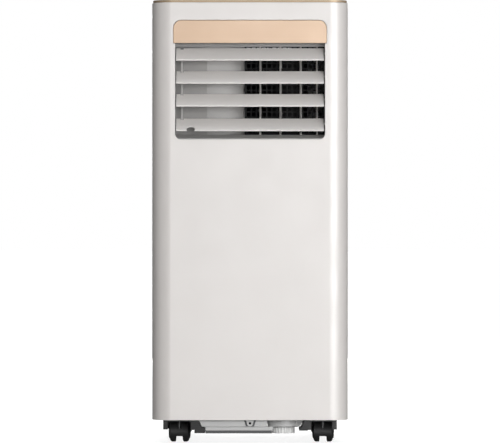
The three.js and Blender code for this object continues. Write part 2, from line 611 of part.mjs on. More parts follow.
function buildBase() {
  addPart('base_pan', basePan(), 'paleGrey');
  addPart('drain_cap', drainCap(), 'paleGrey');
  for (const { name, side, sideX, sideY, x, y } of casterPlaces()) {
    const placed = addPart(`bracket_${name}`, casterBracket(side), 'black');
    placed.position.set(0, y, 0);
    placed.scale.set(sideX, -sideY, 1);
    const caster = new THREE.Group();
    caster.position.set(x, y, 0);
    caster.rotation.z = CASTER.restTurn;
    unit.add(caster);
    addPart(`caster_${name}`, casterBody(), 'black', caster);
    for (const [wheelSide, turn] of [['a', Math.PI], ['b', 0]]) {
      const rolling = addPart(`wheel_${name}_${wheelSide}`, wheel(), 'rubber', caster);
      rolling.position.set(0, CASTER.trail, CASTER.wheelRadius);
      rolling.rotation.z = turn;
    }
  }
}

// ---------------------------------------------------------------- rear and sides
function slotted({ halfX, bottom, top, slots: rows }) {
  const { border, slat, recess, columns } = GRILLE;
  const minY = REAR_Y - WALL;
  const maxY = REAR_Y - recess;
  const slotHeight = (top - bottom - 2 * border + slat) / rows - slat;
  const slotWidth = (2 * halfX - 2 * border + slat) / columns - slat;
  const slots = [];
  for (let row = 0; row < rows; row += 1) {
    for (let column = 0; column < columns; column += 1) {
      const x = -halfX + border + column * (slotWidth + slat);
      const z = bottom + border + row * (slotHeight + slat);
      slots.push(block(x, x + slotWidth, minY - 1, maxY + 1, z, z + slotHeight));
    }
  }
  const outline = roundedOutline(-halfX, halfX, bottom, top, GRILLE_CORNER - GAP);
  return cut(throughY(outline, minY, maxY, 3), ...slots);
}

function upperFilter() {
  const halfX = UPPER_GRILLE.halfX - 7;
  const low = UPPER_GRILLE.bottom + 6;
  const high = UPPER_GRILLE.top - 8;
  const frontY = REAR_Y - 10;
  const backY = REAR_Y - WALL - 0.6;
  const frame = block(-halfX, halfX, frontY, backY, low, high);
  const border = 6;
  const columns = 3;
  const rows = 3;
  const pocketWidth = (2 * halfX - border) / columns - border;
  const pocketHeight = (high - low - border) / rows - border;
  const pockets = [];
  for (let column = 0; column < columns; column += 1) {
    for (let row = 0; row < rows; row += 1) {
      const x = -halfX + border + column * (pocketWidth + border);
      const z = low + border + row * (pocketHeight + border);
      pockets.push(block(x, x + pocketWidth, frontY + 2, backY + 1, z, z + pocketHeight));
    }
  }
  return cut(frame, ...pockets);
}

function hoseCollar() {
  const { inner, tube, flange, frontY, z } = HOSE;
  const ring = turnedY([
    [inner, frontY], [tube, frontY], [tube, REAR_Y - WALL], [flange, REAR_Y - WALL], [flange, REAR_Y - 1.2],
    [flange - 1, REAR_Y - 0.2], [inner + 1, REAR_Y - 0.2], [inner, REAR_Y - 1.4], [inner, frontY],
  ], 28);
  const { y, thickness, barHalf, hubRadius } = FINGER_GUARD;
  const bars = [0, 1].map((turn) =>
    block(-inner - 1, inner + 1, y, y + thickness, -barHalf, barHalf).rotateY(turn * Math.PI / 2));
  const hub = rodY(hubRadius, 0, 0, y, y + thickness, 16);
  return join(ring, ...bars, hub).translate(0, 0, z);
}

function cordGland() {
  const { x, z, radius, bore } = GLAND;
  return turnedY([
    [bore, REAR_Y - 14], [radius - 3, REAR_Y - 14], [radius - 3, REAR_Y - 6], [radius - 0.4, REAR_Y - 6],
    [radius - 0.4, REAR_Y - 0.8], [radius - 1.6, REAR_Y], [bore + 1, REAR_Y], [bore, REAR_Y - 1],
    [bore, REAR_Y - 14],
  ], 14).translate(x, 0, z);
}

// drawn for the right-hand side
function gripPocket() {
  const { y, halfY, bottom, top, depth, wall } = GRIP;
  const outside = HALF_W - 0.2;
  const shellBox = block(outside - depth, outside, y - halfY, y + halfY, bottom, top);
  const hollow = block(outside - depth + wall, outside + 1, y - halfY + wall, y + halfY - wall,
    bottom + wall, top - wall);
  return cut(shellBox, hollow);
}

function buildRear() {
  addPart('upper_grille', slotted(UPPER_GRILLE), 'white');
  addPart('upper_filter', upperFilter(), 'foamGrey');
  addPart('lower_grille', slotted(LOWER_GRILLE), 'white');
  addPart('hose_collar', hoseCollar(), 'white');
  addPart('cord_gland', cordGland(), 'rubber');
  addPart('grip_right', gripPocket(), 'white');
  addPart('grip_left', gripPocket().rotateZ(Math.PI).translate(0, 2 * GRIP.y, 0), 'white');
}

// ---------------------------------------------------------------- inside
function midDeck() {
  const outline = casingOutline(WALL + 0.8);
  const tray = raised(outline, DECK.bottom, DECK.rimTop, 3);
  const hollow = raised(casingOutline(WALL + 2.8), DECK.top, DECK.rimTop + 1, 3);
  return cut(tray, hollow, rodZ(PIPE_RADIUS + 3, ...PIPE_RISER, 300, 400, 12));
}

function blowerHousing(radius, wall, minZ, maxZ, frontY) {
  const circle = rodZ(radius, BLOWER.x, BLOWER.y, minZ, maxZ, 28);
  const mouth = block(SCROLL_EDGE_X + 2 - wall, BLOWER.x + radius, frontY, BLOWER.y, minZ, maxZ);
  return join(circle, mouth);
}

function blowerScroll() {
  const { x, y, housing, wall, floor, top, inlet } = BLOWER;
  const outer = blowerHousing(housing, wall, floor, top, DUCT_BACK_Y + 0.6);
  const inner = blowerHousing(housing - wall, 0, floor + wall, top - wall, DUCT_BACK_Y - 5);
  const inletHole = rodZ(inlet, x, y, top - 10, top + 10, 28);
  const shaftHole = rodZ(12, x, y, floor - 5, floor + 10, 14);
  return cut(outer, inner, inletHole, shaftHole);
}

function blowerWheel() {
  const { radius } = BLOWER;
  const floor = BLOWER.floor + 8;
  const roof = BLOWER.top - 10;
  const bladeDepth = 12;
  const disc = rodZ(radius, 0, 0, floor, floor + 2.5);
  const hub = rodZ(10, 0, 0, floor, floor + 22, 14);
  const ring = turnedZ([[radius - bladeDepth, roof - 3], [radius, roof - 3], [radius, roof],
    [radius - bladeDepth, roof], [radius - bladeDepth, roof - 3]]);
  const bladeCount = 12;
  const blades = Array.from({ length: bladeCount }, (_, turn) =>
    block(radius - bladeDepth + 0.5, radius - 0.8, -0.9, 0.9, floor + 1, roof - 1)
      .rotateZ((turn / bladeCount) * 2 * Math.PI));
  return cut(join(disc, hub, ring, ...blades), rodZ(SHAFT_BORE, 0, 0, 0, HEIGHT, 12));
}

function motor(bodyRadius, bodyLength, shaftLength) {
  return turnedZ([[0, 0], [bodyRadius - 3, 0], [bodyRadius, 3], [bodyRadius, bodyLength - 3],
    [bodyRadius - 3, bodyLength], [SHAFT_RADIUS, bodyLength], [SHAFT_RADIUS, bodyLength + shaftLength],
    [0, bodyLength + shaftLength]], 20);
}

function condenserFan() {
  const { bladeCount, hubRadius, hubHalf, reach, bladeRoot, chord, bladeThickness, pitch } = CONDENSER_FAN;
  const hub = rodY(hubRadius, 0, 0, -hubHalf, hubHalf, 20);
  const blades = Array.from({ length: bladeCount }, (_, turn) =>
    new THREE.BoxGeometry(chord, bladeThickness, reach - bladeRoot)
      .rotateZ(pitch)
      .translate(0, 0, (reach + bladeRoot) / 2)
      .rotateY((turn / bladeCount) * 2 * Math.PI));
  return cut(join(hub, ...blades), rodY(SHAFT_BORE, 0, 0, -20, 20, 12));
}

function coilPack(minX, maxX, minY, maxY, minZ, maxZ) {
  const plate = 2;
  const finStep = 12;
  const tools = [];
  for (let x = minX + plate + 4; x < maxX - plate - 4; x += finStep) {
    tools.push(block(x, x + 5, minY - 1, minY + 6, minZ + 4, maxZ - 4));
  }
  return cut(block(minX, maxX, minY, maxY, minZ, maxZ), ...tools);
}

function refrigerantPipe() {
  const stops = [
    [-104, 2, 226], [-104, 10, 252], [...PIPE_RISER, 300], [...PIPE_RISER, 350], [...PIPE_RISER, 400],
    [-100, 98, 440], [-100, 111, 470],
  ];
  const extrudePath = new THREE.CatmullRomCurve3(stops.map((stop) => new THREE.Vector3(...stop)));
  const section = new THREE.Shape().absarc(0, 0, PIPE_RADIUS, 0, 2 * Math.PI);
  const settings = { extrudePath, steps: 22, curveSegments: 4, bevelEnabled: false };
  return new THREE.ExtrudeGeometry(section, settings);
}

function buildInside() {
  addPart('mid_deck', midDeck(), 'foamGrey');
  addPart('blower_scroll', blowerScroll(), 'paleGrey');
  addPart('blower_motor', motor(42, 66, 120), 'steel').position.set(BLOWER.x, BLOWER.y, DECK.top + 12);
  addPart('blower_wheel', blowerWheel(), 'black').position.set(BLOWER.x, BLOWER.y, 0);
  addPart('evaporator', coilPack(...EVAPORATOR), 'aluminium');
  addPart('condenser', coilPack(...CONDENSER), 'aluminium');
  const fanMotor = addPart('condenser_motor', motor(32, 44, 22), 'steel');
  fanMotor.position.set(0, CONDENSER_MOTOR_Y, HOSE.z);
  fanMotor.rotation.x = -Math.PI / 2;
  addPart('condenser_fan', condenserFan(), 'black').position.set(0, CONDENSER_FAN.y, HOSE.z);
  addPart('compressor', turnedZ(COMPRESSOR_PROFILE, 24), 'black').position.set(...COMPRESSOR_PLACE);
  addPart('refrigerant_pipe', refrigerantPipe(), 'copper');
  addPart('control_box', block(...CONTROL_BOX), 'black');
}

buildCasing();
buildOutlet();
buildBase();
buildRear();
buildInside();

export default unit;
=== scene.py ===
import math

import bmesh
import bpy
from mathutils import Matrix, Vector


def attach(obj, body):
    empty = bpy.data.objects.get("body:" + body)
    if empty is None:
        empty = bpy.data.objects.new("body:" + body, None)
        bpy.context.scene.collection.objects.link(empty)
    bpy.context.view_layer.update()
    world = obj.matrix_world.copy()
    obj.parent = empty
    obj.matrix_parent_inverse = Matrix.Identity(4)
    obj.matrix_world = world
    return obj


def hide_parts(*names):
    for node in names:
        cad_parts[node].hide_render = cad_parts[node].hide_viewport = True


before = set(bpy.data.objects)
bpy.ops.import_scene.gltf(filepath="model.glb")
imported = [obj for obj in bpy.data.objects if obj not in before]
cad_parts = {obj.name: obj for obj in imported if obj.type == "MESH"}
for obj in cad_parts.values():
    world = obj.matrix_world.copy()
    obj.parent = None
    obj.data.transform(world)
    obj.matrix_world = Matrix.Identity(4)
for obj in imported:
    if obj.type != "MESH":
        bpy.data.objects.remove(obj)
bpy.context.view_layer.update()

# Lengths are millimetres; meshes are scaled to metres when they are made.
# The object stands on z = 0 and faces -y, with x to the right as seen from the front.
MM = 0.001
GAP = 0.4

# Casing and control panel
HALF_W, HALF_D, HEIGHT = 151.5, 160.0, 684.0
FRONT_Y, REAR_Y = -HALF_D, HALF_D
CORNER, WALL, SEAM_Y = 30.0, 3.0, -20.0
SHELL_BOTTOM, SHELL_TOP = 35.5, 680.0
PANEL_HALF, PANEL_FRONT, PANEL_BACK, PANEL_FLOOR = 95.0, -120.0, -60.0, 681.0
BUTTONS = {"power": 82, "mode": 62, "fan": 42, "timer": -42, "up": -62, "down": -82}
BUTTON_Y, BUTTON_TOP, BUTTON_RADIUS = -90.0, 683.9, 7.6
LENS_TOP = 683.45

# Air outlet
OUTLET_HALF, BAND_HALF, JAMB_HALF = 117.0, 118.3, 115.6
OUTLET_LOW, OUTLET_HIGH, BAND_HIGH = 470.5, 616.9, 652.4
OUTLET_WALL, OUTLET_CORNER, BAND_CORNER = 1.3, 8.5, 12.5
DUCT_BACK_Y, SILL_TOP = -86.0, 476.5
CEILING_LIP_Y, CEILING_LIP_Z = -125.0, 612.9
SCROLL_EDGE_X = -9.0

# Louvres and vanes; a crank pin's place is measured from its louvre's own axis
LOUVRE_HEIGHTS = (601.6, 566.0, 530.6, 492.7)
LOUVRE_PIVOT_Y, LOUVRE_HALF = -142.2, 114.0
LOUVRE_LOW, LOUVRE_HIGH = 19.3, 14.9
LOUVRE_OPEN = math.radians(55)
CRANK_Y, CRANK_Z, CRANK_X, LINK_X = 6.0, 12.0, -100.0, -105.2
THUMB_X = -91.5
VANE_COUNT = 4

# Base
PAN_BOTTOM, PAN_FLOOR, PAN_RIM_TOP = 36.6, 39.0, 62.0
PAN_UNDER = PAN_BOTTOM + 0.9
BEAM_LEFT, BEAM_RIGHT, BEAM_FRONT, BEAM_BACK = -79.4, 26.6, -146.0, -120.0
STEP_RIGHT, STEP_FRONT, STEP_BOTTOM = 35.6, -143.0, 18.9
TAB_Z = 30.2
TAB_AT = (0, 0, TAB_Z)
SUMP_X, SUMP_Y, SUMP_RADIUS, SUMP_BOTTOM = 52.0, -112.0, 25.4, 23.3
SUMP_AT = (SUMP_X, SUMP_Y, 0)
DRAIN_RADIUS, DRAIN_BOTTOM = 17.6, 13.4

# Casters and their brackets; the left and the right side differ a little
CASTER_X = {"left": 109.8, "right": 113.0}
CASTER_Y, CASTER_TRAIL = 124.0, 11.0
CASTER_TURN = math.radians(-3)
WHEEL_RADIUS, WHEEL_INNER, WHEEL_OUTER = 15.9, 5.9, 16.9
HOOD_HALF, HOOD_INNER, HOOD_OUTER = 13.7, 16.5, 17.4
WEB_BOTTOM = 9.3
FOOT_LIP = {"left": (69.5, 23.5), "right": (75.9, 22.6)}
FOOT_BOTTOM = {"left": 15.4, "right": 19.3}
FOOT_SHOULDER = {"left": (74.5, 23.9), "right": (79.0, 23.0)}
FOOT_TOP_X = {"left": 80.0, "right": 83.4}
BRACKET_OUTER, BRACKET_HALF, BRACKET_LOW, BRACKET_HIGH = 134.0, 33.0, 33.6, 35.2

# Rear, sides and inside: a vent is its half width, bottom and top, a coil its box
UPPER_VENT = (110.0, 430.0, 646.0)
LOWER_VENT = (95.0, 92.0, 200.0)
HOSE_Z, HOSE_FLANGE = 290.0, 78.0
GLAND_X, GLAND_Z, GLAND_RADIUS = -100.0, 77.0, 9.6
GRIP_FRONT, GRIP_BACK, GRIP_LOW, GRIP_HIGH = 0.0, 100.0, 570.0, 612.0
BLOWER_AT = (25.0, 10.0, 0.0)
EVAPORATOR = (-110, 110, 116, 142, 395, 640)
CONDENSER = (-100, 100, 112, 144, 68, 206)


# -------- mesh helpers
def arc(centre_u, centre_v, radius, start, end, steps, radius_v=None):
    """Points along an arc, angles in degrees; radius_v makes it part of an ellipse."""
    points = []
    for step in range(steps + 1):
        angle = math.radians(start + (end - start) * step / steps)
        rise = (radius_v or radius) * math.sin(angle)
        points.append((centre_u + radius * math.cos(angle), centre_v + rise))
    return points


def rounded(min_u, max_u, min_v, max_v, low, high=None, steps=8):
    """A rectangle with round corners, low ones first."""
    high = low if high is None else high
    return (
        arc(max_u - low, min_v + low, low, -90, 0, steps)
        + arc(max_u - high, max_v - high, high, 0, 90, steps)
        + arc(min_u + high, max_v - high, high, 90, 180, steps)
        + arc(min_u + low, min_v + low, low, 180, 270, steps)
    )


def circle(radius, centre_u=0.0, centre_v=0.0, steps=32):
    """Points round a circle, each once."""
    return arc(centre_u, centre_v, radius, 0, 360 * (steps - 1) / steps, steps - 1)


def ring_section(inner, outer, low, high):
    """Profile of a plain ring for add_turned, or of a rod when inner is 0."""
    return [(inner, low), (outer, low), (outer, high), (inner, high)]


AXES = {
    "z": lambda u, v, w: (u, v, w),
    "y": lambda u, v, w: (u, w, v),
    "x": lambda u, v, w: (w, u, v),
}


def add_prism(bm, outline, axis, low, high):
    """Raises a closed outline from low to high along an axis."""
    point = AXES[axis]
    bottom = [bm.verts.new(point(u, v, low)) for u, v in outline]
    top = [bm.verts.new(point(u, v, high)) for u, v in outline]
    bm.faces.new(bottom)
    bm.faces.new(top)
    for i in range(len(outline)):
        j = (i + 1) % len(outline)
        bm.faces.new((bottom[i], bottom[j], top[j], top[i]))


def add_block(bm, min_x, max_x, min_y, max_y, min_z, max_z):
    corners = [(min_x, min_y), (max_x, min_y), (max_x, max_y), (min_x, max_y)]
    add_prism(bm, corners, "z", min_z, max_z)


def add_turned(bm, profile, axis, centre, steps=48, closed=False):
    """Turns a profile of (radius, height) pairs about an axis through centre."""
    turns = [2 * math.pi * i / steps for i in range(steps)]
    rings = []
    for radius, height in profile:
        points = [(radius * math.cos(turn), radius * math.sin(turn)) for turn in turns]
        if radius < 1e-6:
            points = [(0.0, 0.0)]
        ring = []
        for u, v in points:
            x, y, z = AXES[axis](u, v, height)
            ring.append(bm.verts.new((x + centre[0], y + centre[1], z + centre[2])))
        rings.append(ring)
    pairs = list(zip(rings, rings[1:]))
    if closed:
        pairs.append((rings[-1], rings[0]))
    for first, second in pairs:
        for i in range(steps):
            j = (i + 1) % steps
            corners = [first[i % len(first)], first[j % len(first)],
                       second[j % len(second)], second[i % len(second)]]
            unique = list(dict.fromkeys(corners))
            if len(unique) > 2:
                bm.faces.new(unique)


def add_object(name, data):
    made = bpy.data.objects.new(name, data)
    bpy.context.scene.collection.objects.link(made)
    return made


def shape(name, *adders):
    """Makes one object from calls such as (add_block, 0, 1, 0, 1, 0, 1)."""
    bm = bmesh.new()
    for adder, *arguments in adders:
        adder(bm, *arguments)
    bmesh.ops.recalc_face_normals(bm, faces=bm.faces)
    bmesh.ops.scale(bm, vec=(MM, MM, MM), verts=bm.verts)
    mesh = bpy.data.meshes.new(name)
    bm.to_mesh(mesh)
    bm.free()
    return add_object(name, mesh)


def tool(*adder):
    """One call's shape, to be used up by cut or join."""
    return shape("tool", adder)


def settle(piece):
    """Replaces a piece's modifiers by their result."""
    graph = bpy.context.evaluated_depsgraph_get()
    mesh = bpy.data.meshes.new_from_object(piece.evaluated_get(graph))
    old = piece.data
    piece.modifiers.clear()
    piece.data = mesh
    bpy.data.meshes.remove(old)
    mesh.name = piece.name


def combine(piece, operation, tools):
    """Adds or takes away each tool in turn; the tools are used up."""
    for used in tools:
        modifier = piece.modifiers.new("combine", "BOOLEAN")
        modifier.operation = operation
        modifier.solver = "EXACT"
        modifier.object = used
        settle(piece)
        bpy.data.objects.remove(used)


def cut(piece, *tools):
    combine(piece, "DIFFERENCE", tools)


def join(piece, *tools):
    combine(piece, "UNION", tools)


def bevel_edges(piece, width, segments, angle):
    bevel = piece.modifiers.new("bevel", "BEVEL")
    bevel.width = width * MM
    bevel.segments = segments
    bevel.limit_method = "ANGLE"
    bevel.angle_limit = math.radians(angle)
    return bevel


def weigh_normals(piece):
    normals = piece.modifiers.new("normals", "WEIGHTED_NORMAL")
    normals.keep_sharp = True


def soften(piece, width=0.5, segments=2, angle=30):
    """Rounds the edges and shades the rest smoothly."""
    if width:
        bevel = bevel_edges(piece, width, segments, angle)
        bevel.miter_outer = "MITER_ARC"
        bevel.use_clamp_overlap = True
    settle(piece)
    for polygon in piece.data.polygons:
        polygon.use_smooth = True
    piece.data.set_sharp_from_angle(angle=math.radians(40))
    weigh_normals(piece)
    settle(piece)
    return piece


def move(piece, offset=(0, 0, 0), turn=0.0, axis="Z", about=(0, 0, 0)):
    """Turns a mesh about a point, then shifts it; the turn is in radians."""
    pivot = Vector(about) * MM
    shift = Matrix.Translation(Vector(offset) * MM)
    spin = Matrix.Translation(pivot) @ Matrix.Rotation(turn, 4, axis) @ Matrix.Translation(-pivot)
    piece.data.transform(shift @ spin)


def paint(piece, material):
    piece.data.materials.clear()
    piece.data.materials.append(material)


def place(piece, body, material, slot, *replaced):
    """Gives a piece its body and material, and hides the CAD parts that it replaces; the slot is not used.
    """
    paint(piece, material)
    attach(piece, body)
    if replaced:
        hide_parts(*replaced)


# -------- materials
def fill(node, values):
    """Sets a shader node's own sockets."""
    for name, value in values.items():
        node.inputs[name].default_value = value


def wire(source, output, target, socket):
    source.id_data.links.new(source.outputs[output], target.inputs[socket])


def surface(name, colour, roughness, metallic=0.0, grain=900.0, depth=0.00002, mottle=0.03,
            stretch=(1, 1, 1), wear=0.06, coat=0.0, specular=0.5):
    """A moulded or painted surface: fine grain in the bump, slow colour drift and uneven gloss."""
    material = bpy.data.materials.new(name)
    material.use_nodes = True
    nodes = material.node_tree.nodes
    shader = nodes["Principled BSDF"]
    fill(shader, {"Metallic": metallic, "Coat Weight": coat, "Coat Roughness": 0.12,
                  "Specular IOR Level": specular})
    coordinates = nodes.new("ShaderNodeTexCoord")
    mapping = nodes.new("ShaderNodeMapping")
    fill(mapping, {"Scale": stretch})
    wire(coordinates, "Object", mapping, "Vector")

    def noise(scale, detail, source, output):
        made = nodes.new("ShaderNodeTexNoise")
        fill(made, {"Scale": scale, "Detail": detail})
        wire(source, output, made, "Vector")
        return made

    fine = noise(grain, 3.0, mapping, "Vector")
    broad = noise(9.0, 4.0, coordinates, "Object")
    patch = noise(46.0, 5.0, coordinates, "Object")

    tint = nodes.new("ShaderNodeValToRGB")
    for stop, position, drift in zip(tint.color_ramp.elements, (0.3, 0.7), (1 - mottle, 1 + mottle)):
        stop.position = position
        stop.color = (*[min(1.0, channel * drift) for channel in colour], 1)
    wire(broad, "Fac", tint, "Fac")
    speck = nodes.new("ShaderNodeMix")
    speck.data_type = "RGBA"
    speck.blend_type = "MULTIPLY"
    fill(speck, {"Factor": mottle * 1.5})
    wire(tint, "Color", speck, "A")
    wire(fine, "Color", speck, "B")
    wire(speck, "Result", shader, "Base Color")

    gloss = nodes.new("ShaderNodeMapRange")
    fill(gloss, {"From Min": 0.3, "From Max": 0.7, "To Min": max(0.02, roughness - wear),
                 "To Max": min(1.0, roughness + wear)})
    wire(patch, "Fac", gloss, "Value")
    wire(gloss, "Result", shader, "Roughness")

    bump = nodes.new("ShaderNodeBump")
    fill(bump, {"Strength": 0.5, "Distance": depth})
    wire(fine, "Fac", bump, "Height")
    wire(bump, "Normal", shader, "Normal")
    return material


WHITE = surface("casing_white", (0.80, 0.765, 0.74), 0.40, grain=1500, depth=0.000012, mottle=0.012,
                specular=0.45)
BRUSHED = {"grain": 700, "depth": 0.000008, "mottle": 0.02, "stretch": (0.06, 1, 1), "wear": 0.04}
GOLD = surface("champagne_trim", (0.535, 0.366, 0.238), 0.42, metallic=0.1, **BRUSHED)
# A darker copy of the champagne trim for the top cover: painted shade, not a second colour.
SHADED_GOLD = surface("champagne_top", (0.35, 0.255, 0.16), 0.56, metallic=0.25, **BRUSHED)
DUCT = surface("duct_grey", (0.352, 0.345, 0.338), 0.5, grain=1200, specular=0.2)
BLADE = surface("louvre_grey", (0.9, 0.87, 0.845), 0.42, grain=1500, depth=0.000012, mottle=0.015)
BLACK = surface("guard_black", (0.005, 0.005, 0.0055), 0.5, grain=1000, depth=0.00003, specular=0.11)
PIANO = surface("panel_black", (0.006, 0.006, 0.007), 0.3, grain=400, depth=0.000003, wear=0.03,
                specular=0.3)
LENS = surface("smoked_lens", (0.010, 0.011, 0.013), 0.07, grain=300, depth=0.000002, wear=0.02, coat=0.8)
KEY = surface("button_black", (0.016, 0.016, 0.018), 0.28, depth=0.00001, wear=0.05)
PRINT = surface("print_grey", (0.62, 0.62, 0.62), 0.5, grain=600, depth=0.000004)
PAN = surface("pan_grey", (0.57, 0.57, 0.565), 0.42, grain=800, depth=0.00003, specular=0.25)
# The keel's own dark grey; on the plate behind the tab it is painted shade.
KEEL_AND_SHADE = surface("keel_grey", (0.11, 0.112, 0.115), 0.5, grain=800, depth=0.00003, specular=0.2)
CAP = surface("cap_pale", (0.74, 0.74, 0.73), 0.35, mottle=0.02)
CASTER = surface("caster_black", (0.017, 0.017, 0.017), 0.45, depth=0.00003, wear=0.08, specular=0.15)
TREAD = surface("tread_black", (0.014, 0.014, 0.015), 0.5, grain=500, depth=0.00005, wear=0.12,
                specular=0.25)
RUBBER = surface("gland_rubber", (0.02, 0.02, 0.021), 0.7, grain=600, depth=0.00005, wear=0.1)
FILTER = surface("filter_mesh", (0.05, 0.055, 0.06), 0.8, grain=1500, depth=0.00005, wear=0.08)
FOAM = surface("deck_grey", (0.30, 0.31, 0.32), 0.85, grain=260, depth=0.0002, mottle=0.08, wear=0.08)
FINS = surface("coil_fins", (0.72, 0.73, 0.74), 0.34, metallic=1.0, grain=500, depth=0.00003,
               mottle=0.05, wear=0.1)
STEEL = surface("motor_steel", (0.46, 0.47, 0.48), 0.32, metallic=1.0, grain=500,
                stretch=(1, 1, 0.05), mottle=0.06, wear=0.1)
IRON = surface("compressor_black", (0.02, 0.02, 0.021), 0.4, grain=240, depth=0.00012, wear=0.1)
COPPER = surface("pipe_copper", (0.60, 0.28, 0.15), 0.3, metallic=1.0, grain=300, depth=0.00003,
                 mottle=0.12, wear=0.1)


# -------- casing
def half_wall(side, seam):
    """Outline of one half of the casing wall: side is -1 for the front, 1 for the rear."""
    def run(inset):
        radius = CORNER - inset
        at_x, at_y = HALF_W - CORNER, side * (HALF_D - CORNER)
        left = arc(-at_x, at_y, radius, 180, 180 - 90 * side, 20)
        right = arc(at_x, at_y, radius, 90 * side, 0, 20)
        return [(-HALF_W + inset, seam)] + left + right + [(HALF_W - inset, seam)]
    return run(0) + run(WALL)[::-1]


def front_shell():
    """The casing's front half, with a wide seat for the band above the narrower louvre opening."""
    shell = shape("casing_front", (add_prism, half_wall(-1, SEAM_Y), "z", SHELL_BOTTOM, SHELL_TOP))
    edge = BAND_HALF + GAP
    bottom = OUTLET_LOW - OUTLET_WALL - GAP
    seat = rounded(-edge, edge, OUTLET_HIGH - GAP, BAND_HIGH + GAP, 0.5, BAND_CORNER)
    window = rounded(-JAMB_HALF, JAMB_HALF, bottom, OUTLET_HIGH + 5, OUTLET_CORNER, 0.5)
    span = ("y", FRONT_Y - 2, FRONT_Y + WALL + 2)
    cut(shell, tool(add_prism, seat, *span), tool(add_prism, window, *span))
    place(soften(shell, 0.8, 3), "casing", WHITE, "casing_white", "front_shell")


def vent_opening(half_x, bottom, top):
    return rounded(-half_x - GAP, half_x + GAP, bottom - GAP, top + GAP, 8)


def rear_shell():
    """The casing's rear half, open for both vents, the hose, the cord gland and the grips."""
    shell = shape("casing_rear", (add_prism, half_wall(1, SEAM_Y + GAP), "z", SHELL_BOTTOM, SHELL_TOP))
    span = ("y", REAR_Y - WALL - 2, REAR_Y + 2)
    openings = (
        vent_opening(*UPPER_VENT),
        vent_opening(*LOWER_VENT),
        circle(HOSE_FLANGE + GAP, 0, HOSE_Z, 64),
        circle(GLAND_RADIUS + 2 * GAP, GLAND_X, GLAND_Z, 32),
    )
    cut(shell, shape("tool", *[(add_prism, opening, *span) for opening in openings]))
    grip = rounded(GRIP_FRONT - GAP, GRIP_BACK + GAP, GRIP_LOW - GAP, GRIP_HIGH + GAP, 8)
    cut(shell, tool(add_prism, grip, "x", -HALF_W - 2, HALF_W + 2))
    place(soften(shell, 0.6), "casing", WHITE, "casing_white", "rear_shell")


def top_cover():
    """The champagne cover with a shallow recess for the control panel; its darker copy of the trim's colour
    is painted shade.
    """
    inset = 1.5
    half_x, half_y = HALF_W - inset, HALF_D - inset
    outline = rounded(-half_x, half_x, -half_y, half_y, CORNER - inset, steps=20)
    cover = shape("cover_top", (add_prism, outline, "z", SHELL_TOP + 0.3, HEIGHT))
    recess = rounded(-PANEL_HALF, PANEL_HALF, PANEL_FRONT, PANEL_BACK, 3)
    cut(cover, tool(add_prism, recess, "z", PANEL_FLOOR, HEIGHT + 2))
    place(soften(cover, 0.9, 3), "casing", SHADED_GOLD, "champagne_trim", "top_cover")


def display_outline(inset, corner):
    half_x, half_y = 28 - inset, 14 - inset
    return rounded(-half_x, half_x, BUTTON_Y - half_y, BUTTON_Y + half_y, corner)


def control_panel():
    """The dark panel with its button holes, and the smoked display window."""
    low, high = PANEL_FLOOR + 0.3, 683.5
    outline = rounded(GAP - PANEL_HALF, PANEL_HALF - GAP, PANEL_FRONT + GAP, PANEL_BACK - GAP, 3 - GAP)
    panel = shape("panel_top", (add_prism, outline, "z", low, high))
    through = ("z", SHELL_TOP, HEIGHT + 1)
    holes = [(add_prism, circle(BUTTON_RADIUS + GAP, x, BUTTON_Y, 48), *through) for x in BUTTONS.values()]
    holes.append((add_prism, display_outline(0, 2), *through))
    cut(panel, shape("tool", *holes))
    place(soften(panel, 0.3), "casing", PIANO, "panel_black", "control_panel")
    lens = shape("lens_display", (add_prism, display_outline(GAP, 1.8), "z", low, LENS_TOP))
    place(soften(lens, 0.3), "casing", LENS, "smoked_lens", "display_window")


def add_stroke(bm, start, end, width, low, high):
    """A flat printed line from one point to another."""
    start, end = Vector(start), Vector(end)
    along = end - start
    side = Vector((-along.y, along.x)).normalized() * width / 2
    corners = (start - side, end - side, end + side, start + side)
    add_prism(bm, [tuple(corner) for corner in corners], "z", low, high)


def add_bow(bm, centre, radius, start, end, width, low, high):
    """A flat printed arc, angles in degrees."""
    outer = arc(*centre, radius + width / 2, start, end, 20)
    inner = arc(*centre, radius - width / 2, end, start, 20)
    add_prism(bm, outer + inner, "z", low, high)


def button_mark(name, x):
    """The plain pictogram on a button, as a list of strokes, bows and dots."""
    y, low, high, width = BUTTON_Y, BUTTON_TOP - 0.62, BUTTON_TOP - 0.42, 0.55
    flat = (width, low, high)
    if name == "power":
        return [(add_bow, (x, y), 2.6, 120, 420, *flat), (add_stroke, (x, y + 0.8), (x, y + 3.4), *flat)]
    if name == "timer":
        return [(add_bow, (x, y), 2.9, 0, 180, *flat), (add_bow, (x, y), 2.9, 182, 358, *flat),
                (add_stroke, (x, y + 0.3), (x, y + 2.0), *flat),
                (add_stroke, (x + 0.4, y), (x + 1.6, y), *flat)]
    if name in ("up", "down"):
        tip = 1.3 if name == "up" else -1.3
        return [(add_stroke, (x - 2.4, y - tip), (x - 0.1, y + tip), *flat),
                (add_stroke, (x + 2.4, y - tip), (x + 0.1, y + tip), *flat)]
    if name == "fan":
        centres = arc(x, y, 1.7, 90, 330, 2)
        return [(add_prism, circle(1.1, *centre, 16), "z", low, high) for centre in centres]
    return [(add_prism, circle(0.9, x, y, 16), "z", low, high), (add_bow, (x, y), 2.6, 30, 150, *flat),
            (add_bow, (x, y), 2.6, 210, 330, *flat)]


